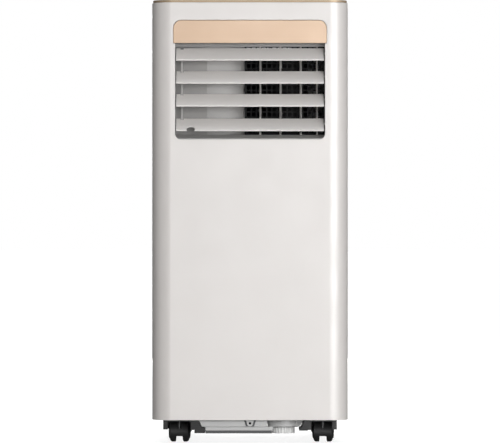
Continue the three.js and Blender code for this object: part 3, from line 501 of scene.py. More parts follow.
def buttons():
    """Six round keys with a dished face, each with its printed mark."""
    top, key_bottom, stem_bottom = BUTTON_TOP, 680.9, 672
    profile = [(0, stem_bottom), (2.5, stem_bottom), (2.5, key_bottom), (BUTTON_RADIUS, key_bottom),
               (BUTTON_RADIUS, top - 0.5), (7.2, top - 0.1), (6.6, top - 0.1), (5.4, top - 0.5),
               (0, top - 0.6)]
    for name, x in BUTTONS.items():
        key = shape(f"key_{name}", (add_turned, profile, "z", (x, BUTTON_Y, 0)))
        place(soften(key, 0), f"button_{name}", KEY, "button_black", f"button_{name}")
        mark = shape(f"mark_{name}", *button_mark(name, x))
        place(soften(mark, 0), f"button_{name}", PRINT, "button_black")


def display_digits():
    """Two seven-segment numerals printed on the display window."""
    segments = {
        "top": ((-3, 6), (3, 6)),
        "upper_left": ((-3.6, 5.4), (-3.6, 0.6)),
        "upper_right": ((3.6, 5.4), (3.6, 0.6)),
        "middle": ((-3, 0), (3, 0)),
        "lower_left": ((-3.6, -0.6), (-3.6, -5.4)),
        "lower_right": ((3.6, -0.6), (3.6, -5.4)),
        "bottom": ((-3, -6), (3, -6)),
    }
    numerals = {
        -7: ("top", "upper_right", "middle", "lower_left", "bottom"),
        7: ("upper_left", "upper_right", "middle", "lower_right"),
    }
    flat = (1.0, LENS_TOP + 0.01, LENS_TOP + 0.07)
    strokes = []
    for centre_x, lit in numerals.items():
        for segment in lit:
            start, end = [(centre_x + u, BUTTON_Y + v) for u, v in segments[segment]]
            strokes.append((add_stroke, start, end, *flat))
    place(soften(shape("digits_display", *strokes), 0), "casing", PRINT, "smoked_lens")


# -------- air outlet
def outlet_band():
    outline = rounded(-BAND_HALF, BAND_HALF, OUTLET_HIGH + 0.3, BAND_HIGH, 0.6, BAND_CORNER, 12)
    band = shape("band_outlet", (add_prism, outline, "y", FRONT_Y + 0.5, FRONT_Y + 3.2))
    place(soften(band, 0.7, 3), "casing", GOLD, "champagne_trim", "outlet_band")


def scroll_wall():
    """Plan of the flat wall on the left and of the wall that curves back from it to the guard."""
    start_x, front_y, back_y, skin = -66.0, -119.0, -89.0, 2.0
    bend = arc(start_x, back_y, SCROLL_EDGE_X - start_x, -90, 0, 28, back_y - front_y)
    behind = [(u - skin, v + skin) for u, v in bend[::-1]]
    return [(-118, -106), (start_x - 0.5, front_y)] + bend + behind + [(-118, -102)]


def outlet_duct():
    """The frame round the louvres, with its sloped sill, ceiling lip and scroll wall."""
    low, high, wall = OUTLET_LOW, OUTLET_HIGH, OUTLET_WALL
    outer = rounded(-BAND_HALF, BAND_HALF, low - wall, high + wall, OUTLET_CORNER, 2)
    inner = rounded(wall - BAND_HALF, BAND_HALF - wall, low, high, OUTLET_CORNER - wall, 2 - wall)
    rim = rounded(GAP - JAMB_HALF, JAMB_HALF - GAP, low - wall, high + wall, OUTLET_CORNER, 2)
    duct = shape("duct_outlet", (add_prism, outer, "y", FRONT_Y + WALL + GAP, DUCT_BACK_Y))
    join(duct, tool(add_prism, rim, "y", FRONT_Y + 0.8, FRONT_Y + WALL + 1))
    cut(duct, tool(add_prism, inner, "y", FRONT_Y - 5, DUCT_BACK_Y + 5))
    sill = [(-134, low - 0.5), (DUCT_BACK_Y, low - 0.5), (DUCT_BACK_Y, SILL_TOP), (-122, SILL_TOP)]
    top, lip_back = high + 0.4, CEILING_LIP_Y + 5
    lip = [(CEILING_LIP_Y, top), (CEILING_LIP_Y, CEILING_LIP_Z), (lip_back, CEILING_LIP_Z), (lip_back, top)]
    reach = OUTLET_HALF + 0.5
    join(duct, tool(add_prism, sill, "x", -reach, reach),
         tool(add_prism, lip, "x", 0.1 - reach, reach - 0.1),
         tool(add_prism, scroll_wall(), "z", low - 0.2, top))
    cut(duct, tool(add_block, -HALF_W, HALF_W, FRONT_Y - 1, FRONT_Y + 3.6, high - 0.1, high + 10))
    place(soften(duct, 0.4), "casing", DUCT, "duct_grey", "outlet_duct")


def fan_guard():
    """A grid of fine bars with a stronger frame."""
    low_x, high_x, low_z, high_z = SCROLL_EDGE_X + 0.6, OUTLET_HALF - 0.6, SILL_TOP + 0.5, OUTLET_HIGH - 0.6
    guard = shape("guard_fan", (add_block, low_x, high_x, -90, -87.5, low_z, high_z))
    columns, rows, bar, frame_bar = 15, 16, 1.9, 3.2
    step_x = (high_x - low_x - 2 * frame_bar + bar) / columns
    step_z = (high_z - low_z - 2 * frame_bar + bar) / rows
    windows = []
    for column in range(columns):
        for row in range(rows):
            x = low_x + frame_bar + column * step_x
            z = low_z + frame_bar + row * step_z
            windows.append((add_block, x, x + step_x - bar, -92, -85, z, z + step_z - bar))
    cut(guard, shape("tool", *windows))
    place(soften(guard, 0.35), "casing", BLACK, "guard_black", "fan_guard")


def louvre_section():
    """The blade's cross-section when closed: y across, z along the chord."""
    front, back = [], []
    steps = 14
    for step in range(steps + 1):
        t = step / steps
        z = -LOUVRE_LOW + 1.1 + t * (LOUVRE_LOW + LOUVRE_HIGH - 1.8)
        bow = 1.15 * math.sin(math.pi * t)
        half = 1.15 - 0.5 * t
        front.append((-bow - half, z))
        back.append((-bow + half, z))
    tip = arc(0, front[-1][1], 0.65, 180, 0, 6)[1:-1]
    lip = arc(0, front[0][1], 1.15, 360, 180, 8)[1:-1]
    return front + tip + back[::-1] + lip


def louvre_arm():
    """Outline of the crank arm behind a blade."""
    arm = [(-0.8, 1), (2, 1), (CRANK_Y + 2.4, CRANK_Z - 3)]
    return arm + arc(CRANK_Y, CRANK_Z, 2.4, 0, 180, 10) + [(-0.8, CRANK_Z - 4)]


def louvre_pins(number):
    """A blade's two end pins, and the crank pin that the link bar turns on."""
    radius, start, end = 1.5, LOUVRE_HALF - 1, LOUVRE_HALF + 4
    return shape(
        f"pins_{number}",
        (add_turned, ring_section(0, radius, -end, -start), "x", (0, 0, 0), 20),
        (add_turned, ring_section(0, radius, start, end), "x", (0, 0, 0), 20),
        (add_turned, ring_section(0, radius, LINK_X - 2.4, CRANK_X - 1), "x", (0, CRANK_Y, CRANK_Z), 20),
    )


def louvres():
    """Four blades, each with a slot for the link bar; the lowest one has a thumb recess."""
    for number, height in enumerate(LOUVRE_HEIGHTS, 1):
        blade = shape(f"blade_{number}", (add_prism, louvre_section(), "x", -LOUVRE_HALF, LOUVRE_HALF))
        cut(blade, tool(add_block, LINK_X - 2.4, CRANK_X - 2.9, -10, 6, 10, 20))
        join(blade, tool(add_prism, louvre_arm(), "x", CRANK_X - 1.8, CRANK_X))
        if number == len(LOUVRE_HEIGHTS):
            thumb = circle(6.6, THUMB_X, 3.6 - LOUVRE_LOW, 40)
            cut(blade, tool(add_prism, thumb, "y", -9, 9))
        soften(blade, 0.35, 2, 35)
        pins = soften(louvre_pins(number), 0)
        for piece, material in ((blade, BLADE), (pins, DUCT)):
            move(piece, (0, LOUVRE_PIVOT_Y, height), -LOUVRE_OPEN, "X")
            place(piece, f"louvre_{number}", material, "louvre_grey")
        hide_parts(f"louvre_{number}")


def keep(node, material, width=0.4):
    """Carries a CAD node over with rounded edges and its own material."""
    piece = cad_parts[node]
    paint(piece, material)
    for polygon in piece.data.polygons:
        polygon.use_smooth = True
    if width:
        bevel_edges(piece, width, 2, 30)
    weigh_normals(piece)


def vanes():
    """The vanes and both link bars keep their CAD shapes."""
    for number in range(1, VANE_COUNT + 1):
        keep(f"vane_{number}", BLADE, 0.25)
    keep("vane_link", BLADE, 0.3)
    keep("louvre_link", DUCT, 0.3)


# -------- base
def base_pan():
    """The floor tray with its rim, stepped front beam, rear beam, side web, screw tab and sump."""
    inset, wall, under = WALL + 0.6, 2, PAN_UNDER
    radius = CORNER - inset
    half_x, half_y = HALF_W - inset, HALF_D - inset
    outline = rounded(-half_x, half_x, -half_y, half_y, radius, steps=14)
    pan = shape("pan_base", (add_prism, outline, "z", PAN_BOTTOM, PAN_RIM_TOP))
    inner = rounded(wall - half_x, half_x - wall, wall - half_y, half_y - wall, radius - wall, steps=14)
    cut(pan, tool(add_prism, inner, "z", PAN_FLOOR, PAN_RIM_TOP + 2))
    web = [(66, 25.2), (78.2, 25.2), (82.4, 35.0), (82.4, under + 0.3), (66, under + 0.3)]
    beam = [(BEAM_FRONT, under), (BEAM_FRONT, 25), (STEP_FRONT, 24), (BEAM_BACK, 24), (BEAM_BACK, under)]
    sump_floor = [(0, SUMP_BOTTOM), (SUMP_RADIUS - 2.6, SUMP_BOTTOM),
                  (SUMP_RADIUS - 0.9, SUMP_BOTTOM + 1.2), (SUMP_RADIUS - 0.5, 29), (0, 29)]
    tab = [(-6.6, under)] + arc(0, TAB_Z, 4.7, 180, 360, 14) + [(6.6, under)]
    join(
        pan,
        tool(add_prism, web, "y", -127.7, -122.3),
        tool(add_prism, beam, "x", BEAM_LEFT, BEAM_RIGHT),
        tool(add_block, BEAM_LEFT, STEP_RIGHT, STEP_FRONT, BEAM_BACK, STEP_BOTTOM, 24.6),
        tool(add_block, -64, 70, 96, 142, 22, under),
        tool(add_turned, ring_section(0, SUMP_RADIUS, 28, under), "z", SUMP_AT, 64),
        tool(add_turned, sump_floor, "z", SUMP_AT, 64),
        tool(add_prism, tab, "y", -149.5, -145.5),
    )
    room = [(-100, 0), (-69, 0), (-69, 23.9), (-74, 24.3), (-79.5, 35.6), (-100, 35.6)]
    stems = [(add_prism, circle(4.6, x, side_y * CASTER_Y, 24), "z", 0, PAN_RIM_TOP)
             for x in (-CASTER_X["left"], CASTER_X["right"]) for side_y in (-1, 1)]
    cut(
        pan,
        tool(add_prism, room, "y", FRONT_Y, BEAM_BACK + 1),
        tool(add_turned, ring_section(0, 2.1, -152, -146.4), "y", TAB_AT, 24),
        tool(add_prism, circle(9, SUMP_X, SUMP_Y, 40), "z", 0, PAN_RIM_TOP),
        shape("tool", *stems),
    )
    place(soften(pan), "casing", PAN, "pan_grey", "base_pan")


def tab_fittings():
    """The screw in the front tab, and a dark plate behind the tab that paints the shade on both sides of
    it.
    """
    profile = [(0, -146.9), (1.6, -146.9), (1.9, -146.7), (1.9, -146.45), (0, -146.45)]
    screw = shape("screw_tab", (add_turned, profile, "y", TAB_AT, 24))
    place(soften(screw, 0), "casing", BLACK, "pan_grey")
    # Painted shade: this dark plate stands for the shadow on both sides of the tab.
    outline = [(-10.4, PAN_UNDER), (-6.2, 25.4), (6.2, 25.4), (10.4, PAN_UNDER)]
    painted_shade_plate = shape("backing_tab", (add_prism, outline, "y", -147.4, BEAM_FRONT - 0.05))
    cut(painted_shade_plate, tool(add_prism, circle(2.3, 0, TAB_Z, 24), "y", -150, -144))
    place(soften(painted_shade_plate, 0.3), "casing", KEEL_AND_SHADE, "pan_grey")


def cross_keel():
    """The dark rib under the front beam, hollow from below and cut round the sump."""
    low, high = 14, 19.1
    keel = shape("keel_base", (add_block, -69, 34, -138, -122, low, high))
    cut(keel, tool(add_turned, ring_section(0, SUMP_RADIUS - 3, 10, 22), "z", SUMP_AT, 48))
    hollows = [(add_block, x, x + 12, -134.5, -125.5, low - 2, high - 1.7) for x in range(-66, 10, 15)]
    cut(keel, shape("tool", *hollows))
    place(soften(keel), "casing", KEEL_AND_SHADE, "pan_grey")


def drain_cap():
    """A screw cap with grip ribs round its skirt, and a bar across a shallow dish below."""
    points = []
    ribs, steps = 22, 6
    for i in range(ribs * steps):
        turn = 2 * math.pi * i / (ribs * steps)
        wave = 0.5 + 0.5 * math.cos(ribs * turn)
        radius = DRAIN_RADIUS - 0.9 * (1 - min(1.0, 2.2 * wave))
        points.append((SUMP_X + radius * math.cos(turn), SUMP_Y + radius * math.sin(turn)))
    top = SUMP_BOTTOM - GAP
    cap = shape("cap_drain", (add_prism, points, "z", DRAIN_BOTTOM, top))
    join(cap, tool(add_turned, ring_section(0, 8.4, top - 1, top + 9), "z", SUMP_AT, 40))
    floor = DRAIN_BOTTOM + 1.4
    dish = [(0, DRAIN_BOTTOM - 2), (12, DRAIN_BOTTOM - 2), (12, floor - 0.4), (11.2, floor), (0, floor)]
    cut(cap, tool(add_turned, dish, "z", SUMP_AT, 40))
    grip_x, grip_y = 11.5, 1.6
    join(cap, tool(add_block, SUMP_X - grip_x, SUMP_X + grip_x, SUMP_Y - grip_y, SUMP_Y + grip_y,
                   DRAIN_BOTTOM + 0.2, floor + 0.5))
    place(soften(cap, 0.35), "drain_cap", CAP, "pan_grey", "drain_cap")


def caster_bracket(end, side, side_x, side_y):
    """Folded mounting plate of one caster, with an outer foot, a stepped inner foot and a back wall."""
    stem_x, top_x = CASTER_X[side], FOOT_TOP_X[side]
    lip, bottom = FOOT_LIP[side], FOOT_BOTTOM[side]
    outer, half, low, high = BRACKET_OUTER, BRACKET_HALF, BRACKET_LOW, BRACKET_HIGH
    foot = [(lip[0], bottom), (stem_x - 24, bottom), (stem_x - 24, 20.3), (stem_x - 18.5, 20.3),
            (stem_x - 18.5, high), (top_x, high), (top_x, low), FOOT_SHOULDER[side], lip]
    bracket = shape(f"mount_{end}_{side}", (add_block, top_x, outer, -half, half, low, high))
    join(bracket, tool(add_block, outer - 7, outer, -half, half, 21.1, high),
         tool(add_prism, foot, "y", -half, half),
         tool(add_block, top_x, outer, half - 1, half + 3, 19, high))
    swing = math.hypot(CASTER_TRAIL + WHEEL_RADIUS, WHEEL_OUTER) + 2 * GAP
    cut(bracket, tool(add_prism, circle(swing, stem_x, 0, 64), "z", 0, low),
        tool(add_prism, circle(3.6, stem_x, 0, 32), "z", 0, 60))
    bracket.data.transform(Matrix.Diagonal((side_x, -side_y, 1, 1)))
    if side_x == side_y:
        bracket.data.flip_normals()
    move(bracket, (0, side_y * CASTER_Y, 0))
    place(soften(bracket), "casing", CASTER, "caster_black", f"bracket_{end}_{side}")


def caster_fork(end, side, centre):
    """The swivelling body: a hood over the twin wheels, the web between them, the axle and the stem."""
    hub = (CASTER_TRAIL, WHEEL_RADIUS)
    ring = arc(*hub, HOOD_OUTER, 55, 227, 40) + arc(*hub, HOOD_INNER, 227, 55, 40)
    fork = shape(f"fork_{end}_{side}", (add_prism, ring, "x", -HOOD_HALF, HOOD_HALF))
    half, corner = 5.7, 1.5
    notch = [(-half, -5), (half, -5)]
    notch += arc(half - corner, WEB_BOTTOM - corner, corner, 0, 90, 5)
    notch += arc(corner - half, WEB_BOTTOM - corner, corner, 90, 180, 5)
    cut(fork, tool(add_prism, notch, "y", -30, 30))
    middle = (HOOD_INNER + HOOD_OUTER) / 2
    drop = math.degrees(math.asin((WHEEL_RADIUS - WEB_BOTTOM) / middle))
    web = [(CASTER_TRAIL + 6, WEB_BOTTOM)] + arc(*hub, 7.5, -40, 57, 10)
    web += arc(*hub, middle, 56, 180 + drop, 24)
    join(fork, tool(add_prism, web, "x", GAP - WHEEL_INNER, WHEEL_INNER - GAP),
         tool(add_turned, ring_section(0, 2, -13, 13), "x", (0, *hub), 24))
    cut(fork, tool(add_block, -2.5, 2.5, -20, 1.5, 20.9, 45))
    soften(fork, 0.45, 3)
    profile = [(0, 20.2), (1.6, 20.2), (1.9, 20.6), (1.9, 33.3), (3.2, 33.3), (3.2, 36.0), (2.4, 36.8),
               (0, 36.8)]
    stem = soften(shape(f"stem_{end}_{side}", (add_turned, profile, "z", (0, 0, 0), 32)), 0)
    for piece, material, slot in ((fork, CASTER, "caster_black"), (stem, IRON, "motor_steel")):
        move(piece, centre)
        move(piece, turn=CASTER_TURN, about=centre)
        place(piece, f"caster_{end}_{side}", material, slot)
    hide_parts(f"caster_{end}_{side}")


def caster_wheel(end, side, centre, letter):
    """A rounded wheel with a tyre ring and a dished hub."""
    bore, inner, tread, outer, radius = 2.35, WHEEL_INNER, 14.6, WHEEL_OUTER, WHEEL_RADIUS
    crown = [(radius - 0.9, inner), (radius - 0.25, inner + 0.35), (radius, inner + 1.2),
             (radius, tread - 3.4)]
    shoulder = [(radius - 0.35, tread - 2.2), (radius - 1.0, tread - 1.2), (radius - 2.2, tread - 0.4),
                (radius - 3.4, tread + 0.1), (radius - 3.7, tread - 0.4), (radius - 4.3, tread + 0.1),
                (9.8, outer - 0.6), (7.0, outer - 0.2), (3.5, outer), (0, outer)]
    profile = [(0, outer - 2.2), (bore, outer - 2.2), (bore, inner), (5, inner), (5.5, inner + 1.2),
               (11.5, inner + 1.2), (12, inner)] + crown + shoulder
    wheel = shape(f"tyre_{end}_{side}_{letter}", (add_turned, profile, "x", (0, 0, 0), 64))
    if letter == "a":
        wheel.data.transform(Matrix.Rotation(math.pi, 4, "Z"))
    soften(wheel, 0)
    move(wheel, (centre[0], centre[1] + CASTER_TRAIL, WHEEL_RADIUS))
    move(wheel, turn=CASTER_TURN, about=centre)
    node = f"wheel_{end}_{side}_{letter}"
    place(wheel, node, TREAD, "tread_black", node)


def casters():
    for end, side_y in (("front", -1), ("rear", 1)):
        for side, side_x in (("left", -1), ("right", 1)):
            centre = (side_x * CASTER_X[side], side_y * CASTER_Y, 0)
            caster_bracket(end, side, side_x, side_y)
            caster_fork(end, side, centre)
            for letter in "ab":
                caster_wheel(end, side, centre, letter)


# -------- rear and sides
def grille(name, node, body, vent, slats):
    """A framed grille with a middle bar and slats that lean down towards the outside."""
    half_x, bottom, top = vent
    front, back, border, half_bar = REAR_Y - WALL, REAR_Y - 0.2, 9, 2.5
    outline = rounded(-half_x, half_x, bottom, top, 8 - GAP)
    plate = shape(name, (add_prism, outline, "y", front, back))
    for side in (-1, 1):
        low, high = sorted((side * half_bar, side * (half_x - border)))
        window = rounded(low, high, bottom + border, top - border, 3)
        cut(plate, tool(add_prism, window, "y", front - 1, back + 1))
    pitch = (top - bottom - 2 * border) / slats
    reach = half_x - border + 0.5
    leaning = []
    for row in range(1, slats):
        z = bottom + border + row * pitch
        section = [(front + 0.2, z + 1.6), (back - 0.4, z - 1.9), (back - 0.4, z - 0.5),
                   (front + 0.2, z + 3.0)]
        leaning.append((add_prism, section, "x", -reach, reach))
    join(plate, shape("tool", *leaning))
    place(soften(plate, 0.3), body, WHITE, "casing_white", node)


def upper_filter():
    """The filter frame with its fine woven mesh."""
    half_x, low, high = 103, 436, 638
    front, back, border = REAR_Y - 10, REAR_Y - WALL - 0.6, 6
    outline = rounded(-half_x, half_x, low, high, 4)
    border_piece = shape("frame_filter", (add_prism, outline, "y", front, back))
    windows = []
    width = (2 * half_x - border) / 3 - border
    height = (high - low - border) / 3 - border
    for column in range(3):
        for row in range(3):
            x = -half_x + border + column * (width + border)
            z = low + border + row * (height + border)
            window = rounded(x, x + width, z, z + height, 2)
            windows.append((add_prism, window, "y", front - 1, back + 1))
    cut(border_piece, shape("tool", *windows))
    place(soften(border_piece), "filter_panel", FILTER, "filter_mesh", "upper_filter")
    middle = (front + back) / 2
    strands = []
    pitch = 2.6
    for i in range(int((2 * half_x - 8) / pitch)):
        x = 5 - half_x + i * pitch
        strands.append((add_block, x, x + 0.5, middle - 0.3, middle + 0.2, low + 3, high - 3))
    for i in range(int((high - low - 8) / pitch)):
        z = low + 4 + i * pitch
        strands.append((add_block, 4 - half_x, half_x - 4, middle - 0.1, middle + 0.4, z, z + 0.5))
    place(soften(shape("mesh_filter", *strands), 0), "filter_panel", FOAM, "filter_mesh")


def hose_collar():
    """The round exhaust socket, with a finger guard and a rolled, grooved rim."""
    inner, tube, flange, start = 66, 69, HOSE_FLANGE, 105
    rim, centre = REAR_Y - 0.2, (0, 0, HOSE_Z)
    profile = [(inner, start), (tube, start), (tube, REAR_Y - WALL), (flange, REAR_Y - WALL)]
    profile += [(flange, rim - 1.2)]
    profile += arc(flange - 1.4, rim - 1.4, 1.4, 10, 90, 5) + [(inner + 6, rim), (inner + 5.2, rim - 0.8)]
    profile += [(inner + 3.6, rim - 0.8), (inner + 2.8, rim), (inner + 1.4, rim), (inner, rim - 1.4)]
    collar = shape("socket_hose", (add_turned, profile, "y", centre, 96, True))
    low, high = 139, 142
    spokes = [(add_spoke, math.radians(90 * turn), 9.0, inner + 1.5, 1.3, low, high, (0, HOSE_Z))
              for turn in range(4)]
    hub = [(0, low), (12, low), (12, high - 0.6), (11, high), (0, high)]
    join(collar, shape("tool", *spokes[::2]), shape("tool", *spokes[1::2]),
         tool(add_turned, hub, "y", centre, 48))
    for radius in (21, 32, 43, 54):
        section = ring_section(radius - 1.1, radius + 1.1, low + 0.4, high - 0.4)
        join(collar, tool(add_turned, section, "y", centre, 64, True))
    place(soften(collar, 0.3), "casing", WHITE, "casing_white", "hose_collar")


def add_spoke(bm, angle, start, end, half, low, high, centre):
    """A straight bar in the XZ plane, from one radius to another."""
    along = Vector((math.cos(angle), math.sin(angle)))
    side = Vector((-along.y, along.x)) * half
    middle = Vector(centre)
    corners = [middle + along * start - side, middle + along * end - side,
               middle + along * end + side, middle + along * start + side]
    add_prism(bm, [tuple(corner) for corner in corners], "y", low, high)


def cord_gland():
    """A rubber grommet with a flange outside the rear shell's wall."""
    radius, bore = GLAND_RADIUS, 3.6
    profile = [(bore, 146), (7, 146), (7, 154), (radius, 154), (radius, 158.6), (radius - 1.0, 159.6),
               (bore + 1.2, 159.8), (bore, 158.8)]
    gland = shape("grommet_cord", (add_turned, profile, "y", (GLAND_X, 0, GLAND_Z), 48, True))
    place(soften(gland, 0.2), "casing", RUBBER, "gland_rubber", "cord_gland")


def grips():
    """Recessed hand holds with three ribs on the inner wall."""
    outside, depth, wall, corner = HALF_W - 0.2, 27, 2, 8 - GAP
    outer = rounded(GRIP_FRONT, GRIP_BACK, GRIP_LOW, GRIP_HIGH, corner)
    inner = rounded(GRIP_FRONT + wall, GRIP_BACK - wall, GRIP_LOW + wall, GRIP_HIGH - wall, 6.4)
    floor = outside - depth + wall
    for side, sign in (("left", -1), ("right", 1)):
        shell = sorted((sign * (outside - depth), sign * outside))
        hollow = sorted((sign * floor, sign * (outside + 2)))
        raised = sorted((sign * (floor - 0.3), sign * (floor + 0.7)))
        pocket = shape(f"pocket_{side}", (add_prism, outer, "x", *shell))
        cut(pocket, tool(add_prism, inner, "x", *hollow))
        ribs = [(add_block, *raised, GRIP_FRONT + 8, GRIP_BACK - 8, z, z + 1.6) for z in (584, 590, 596)]
        join(pocket, shape("tool", *ribs))
        place(soften(pocket, 0.6, 3), "casing", WHITE, "casing_white", f"grip_{side}")


def rear_screws():
    """Cross-head screws in two columns down the rear shell."""
    top, slot, arm = REAR_Y - 0.05, 0.35, 1.7
    profile = [(0, top - 2.0), (3.4, top - 2.0), (3.4, top - 0.6), (2.9, top - 0.2), (1.6, top), (0, top)]
    places = [(x, z) for z in (652, 400, 215, 60) for x in (-130, 130)]
    for number, (x, z) in enumerate(places, 1):
        head = shape(f"screw_{number}", (add_turned, profile, "y", (x, 0, z), 32))
        cut(head, tool(add_block, x - arm, x + arm, top - 0.9, top + 1, z - slot, z + slot),
            tool(add_block, x - slot, x + slot, top - 0.9, top + 1, z - arm, z + arm))
        place(soften(head, 0.1, 1), "casing", STEEL, "motor_steel")


# -------- inside
def blower_wheel():
    """A squirrel-cage wheel: a floor disc with a hub, an upper ring and many curved blades."""
    low, high, radius, blades = 478.5, 608, 68, 42
    bore, hub_top = 4.4, low + 22
    centre_x, centre_y, _ = BLOWER_AT
    disc = [(bore, low), (radius, low), (radius, low + 2.5), (12, low + 2.5), (10, hub_top),
            (bore, hub_top)]
    parts = [(add_turned, disc, "z", BLOWER_AT, 64, True),
             (add_turned, ring_section(radius - 12, radius, high - 3, high), "z", BLOWER_AT, 64, True)]
    for blade in range(blades):
        turn = 2 * math.pi * blade / blades
        bend = []
        for step in range(6):
            t = step / 5
            reach = radius - 11.4 + 10.8 * t
            angle = turn + 0.13 * t * t
            bend.append((centre_x + reach * math.cos(angle), centre_y + reach * math.sin(angle)))
        back = [(x - 0.8 * math.sin(turn), y + 0.8 * math.cos(turn)) for x, y in bend]
        parts.append((add_prism, bend + back[::-1], "z", low + 1, high - 1))
    rotor = soften(shape("rotor_blower", *parts), 0)
    place(rotor, "blower_wheel", BLACK, "guard_black", "blower_wheel")


def condenser_fan():
    """An axial fan with five twisted blades."""
    centre_y, hub_radius, tip_radius = 121, 17, 60
    hub = [(4.4, -9), (hub_radius, -9), (hub_radius, 7), (hub_radius - 2, 9), (4.4, 9)]
    parts = [(add_turned, [(r, centre_y + h) for r, h in hub], "y", (0, 0, HOSE_Z), 48, True)]
    for blade in range(5):
        parts.append((add_fan_blade, 2 * math.pi * blade / 5, hub_radius - 0.5, tip_radius, centre_y))
    rotor = soften(shape("rotor_condenser", *parts), 0)
    place(rotor, "condenser_fan", BLACK, "guard_black", "condenser_fan")


def add_fan_blade(bm, start, inner, outer, centre_y):
    """A thin sickle blade between two radii, steeper at the hub."""
    rows, columns = 8, 8
    sheets = []
    for offset in (-0.7, 0.7):
        grid = []
        for row in range(rows + 1):
            t = row / rows
            reach = inner + (outer - inner) * t
            span = 0.85 + 0.25 * t
            lean = 6.5 - 2.5 * t
            grid.append([])
            for column in range(columns + 1):
                u = column / columns - 0.5
                angle = start + 0.25 * t + span * u
                y = centre_y + 2 * lean * u * 0.8 + offset
                x, z = reach * math.cos(angle), HOSE_Z + reach * math.sin(angle)
                grid[-1].append(bm.verts.new((x, y, z)))
        sheets.append(grid)
    low, high = sheets
    for row in range(rows):
        for column in range(columns):
            for grid in sheets:
                bm.faces.new((grid[row][column], grid[row + 1][column], grid[row + 1][column + 1],
                              grid[row][column + 1]))
    rim = [(row, column, 1, 0) for row in range(rows) for column in (0, columns)]
    rim += [(row, column, 0, 1) for column in range(columns) for row in (0, rows)]
    for row, column, down, across in rim:
        next_row, next_column = row + down, column + across
        bm.faces.new((low[row][column], low[next_row][next_column],
                      high[next_row][next_column], high[row][column]))


def coil(name, node, min_x, max_x, min_y, max_y, min_z, max_z):
    """A finned coil: end plates, thin upright fins and two columns of tubes through them."""
    plate, fin, margin, pitch = 1.6, 0.35, 8, 2.4
    parts = [(add_block, min_x, min_x + plate, min_y, max_y, min_z, max_z),
             (add_block, max_x - plate, max_x, min_y, max_y, min_z, max_z)]
    for i in range(int((max_x - min_x - 2 * margin) / pitch)):
        x = min_x + margin + i * pitch
        parts.append((add_block, x, x + fin, min_y + 1, max_y - 1, min_z + 1, max_z - 1))
    place(soften(shape(name, *parts), 0), "casing", FINS, "coil_fins", node)
    rise, start = 21, 12
    middle = (min_y + max_y) / 2
    section = ring_section(0, 3.5, min_x + 1, max_x - 1)
    tubes = []
    for row in range(int((max_z - min_z - start) / rise)):
        for y in (middle - 7, middle + 7):
            tubes.append((add_turned, section, "x", (0, y, min_z + start + row * rise), 16))
    place(soften(shape(f"tubes_{name}", *tubes), 0), "casing", COPPER, "pipe_copper")


def inside():
    """The machinery: both rotors and coils in detail, the rest with its CAD shapes."""
    blower_wheel()
    condenser_fan()
    coil("fins_evaporator", "evaporator", *EVAPORATOR)
    coil("fins_condenser", "condenser", *CONDENSER)
    kept = {
        "mid_deck": (FOAM, 0.5), "blower_scroll": (DUCT, 0.4), "blower_motor": (STEEL, 0.4),
        "condenser_motor": (STEEL, 0.4), "compressor": (IRON, 0.5), "refrigerant_pipe": (COPPER, 0),
        "control_box": (BLACK, 1.0),
    }
    for node, (material, width) in kept.items():
        keep(node, material, width)


# -------- stage, lights and camera
def floor_material():
    """A glow that rises with distance, so that the floor ends in the white of the studio."""
    pale = surface("floor_pale", (0.2, 0.2, 0.2), 0.8, grain=60, mottle=0.003, specular=0.1)
    nodes = pale.node_tree.nodes
    shader = nodes["Principled BSDF"]
    fill(shader, {"Emission Color": (1, 1, 1, 1)})
    position = nodes.new("ShaderNodeNewGeometry")
    distance = nodes.new("ShaderNodeVectorMath")
    distance.operation = "LENGTH"
    rise = nodes.new("ShaderNodeMapRange")
    rise.interpolation_type = "SMOOTHSTEP"
    fill(rise, {"From Min": 0.15, "From Max": 1.1, "To Min": 0.86, "To Max": 1.0})
    wire(position, "Position", distance, 0)
    wire(distance, "Value", rise, "Value")
    wire(rise, "Result", shader, "Emission Strength")
    return pale


def stage():
    """A wide pale floor that is seen but throws no light back on the object."""
    radius, steps = 40.0, 48
    turns = [2 * math.pi * i / steps for i in range(steps)]
    rim = [(radius * math.cos(turn), radius * math.sin(turn), 0.0) for turn in turns]
    floor = bpy.data.meshes.new("floor")
    floor.from_pydata(rim, [], [tuple(range(steps))])
    made = add_object("floor", floor)
    floor.materials.append(floor_material())
    made.visible_diffuse = False
    made.visible_glossy = False


def sky():
    """A studio sky that looks white but lights the object only faintly."""
    world = bpy.data.worlds.new("studio")
    bpy.context.scene.world = world
    world.use_nodes = True
    nodes = world.node_tree.nodes
    faint = nodes["Background"]
    fill(faint, {"Color": (1, 1, 1, 1), "Strength": 0.11})
    seen = nodes.new("ShaderNodeBackground")
    fill(seen, {"Color": (1, 1, 1, 1)})
    rays = nodes.new("ShaderNodeLightPath")
    mix = nodes.new("ShaderNodeMixShader")
    wire(rays, "Is Camera Ray", mix, "Fac")
    wire(faint, "Background", mix, 1)
    wire(seen, "Background", mix, 2)
    wire(mix, "Shader", nodes["World Output"], "Surface")


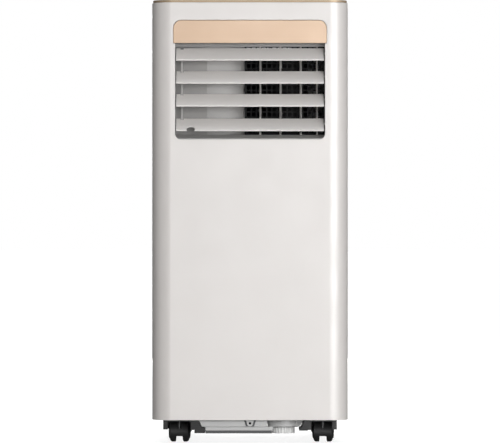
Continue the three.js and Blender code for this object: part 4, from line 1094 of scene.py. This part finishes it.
def softbox(name, bearing, distance, height, size, power):
    """An area light facing the object, in metres; bearing is in degrees from the front to the right."""
    data = bpy.data.lights.new(name, "AREA")
    data.shape = "RECTANGLE"
    data.size, data.size_y = size
    data.energy = power
    light = add_object(name, data)
    angle = math.radians(bearing)
    light.location = (distance * math.sin(angle), -distance * math.cos(angle), height)
    aim = Vector((0, 0, 0.36)) - light.location
    light.rotation_euler = aim.to_track_quat("-Z", "Y").to_euler()
    return light


def lights():
    """Soft light from the front; the gloss box is seen only in reflections, the side boxes never."""
    softbox("front_box", 9, 4.2, 0.22, (2.0, 2.4), 175)
    gloss = softbox("right_gloss", 36, 3.0, 0.5, (1.7, 2.4), 262)
    gloss.visible_diffuse = False
    softbox("right_strip", 33, 3.0, 0.7, (0.16, 2.2), 8)
    softbox("left_fill", -72, 3.2, 0.7, (1.0, 2.0), 1)
    for side_fill in (softbox("right_side", 96, 3.0, 0.8, (1.2, 2.0), 15),
                      softbox("left_side", -138, 3.0, 0.8, (1.2, 2.0), 13)):
        side_fill.visible_glossy = False
    softbox("rear_box", 180, 3.4, 1.0, (1.6, 2.0), 92)
    softbox("top_box", 0, 0.05, 3.0, (1.4, 1.4), 20)


def camera():
    """Level with the object's middle, far off, with a lens that takes in frame_width at its face."""
    distance, eye_height, frame_width = 6.0, HEIGHT * MM / 2, 0.7709
    data = bpy.data.cameras.new("view_front")
    data.sensor_width = 36.0
    data.lens = data.sensor_width * distance / frame_width
    made = add_object("view_front", data)
    made.location = (0, FRONT_Y * MM - distance, eye_height)
    made.rotation_euler = (math.radians(90), 0, 0)
    bpy.context.scene.camera = made


camera()
stage()
sky()
lights()
front_shell()
rear_shell()
top_cover()
control_panel()
buttons()
display_digits()
outlet_band()
outlet_duct()
fan_guard()
louvres()
vanes()
base_pan()
tab_fittings()
cross_keel()
drain_cap()
casters()
grille("vent_upper", "upper_grille", "filter_panel", UPPER_VENT, 22)
upper_filter()
grille("vent_lower", "lower_grille", "casing", LOWER_VENT, 11)
hose_collar()
cord_gland()
grips()
rear_screws()
inside()

bpy.context.scene.view_settings.view_transform = "Standard"
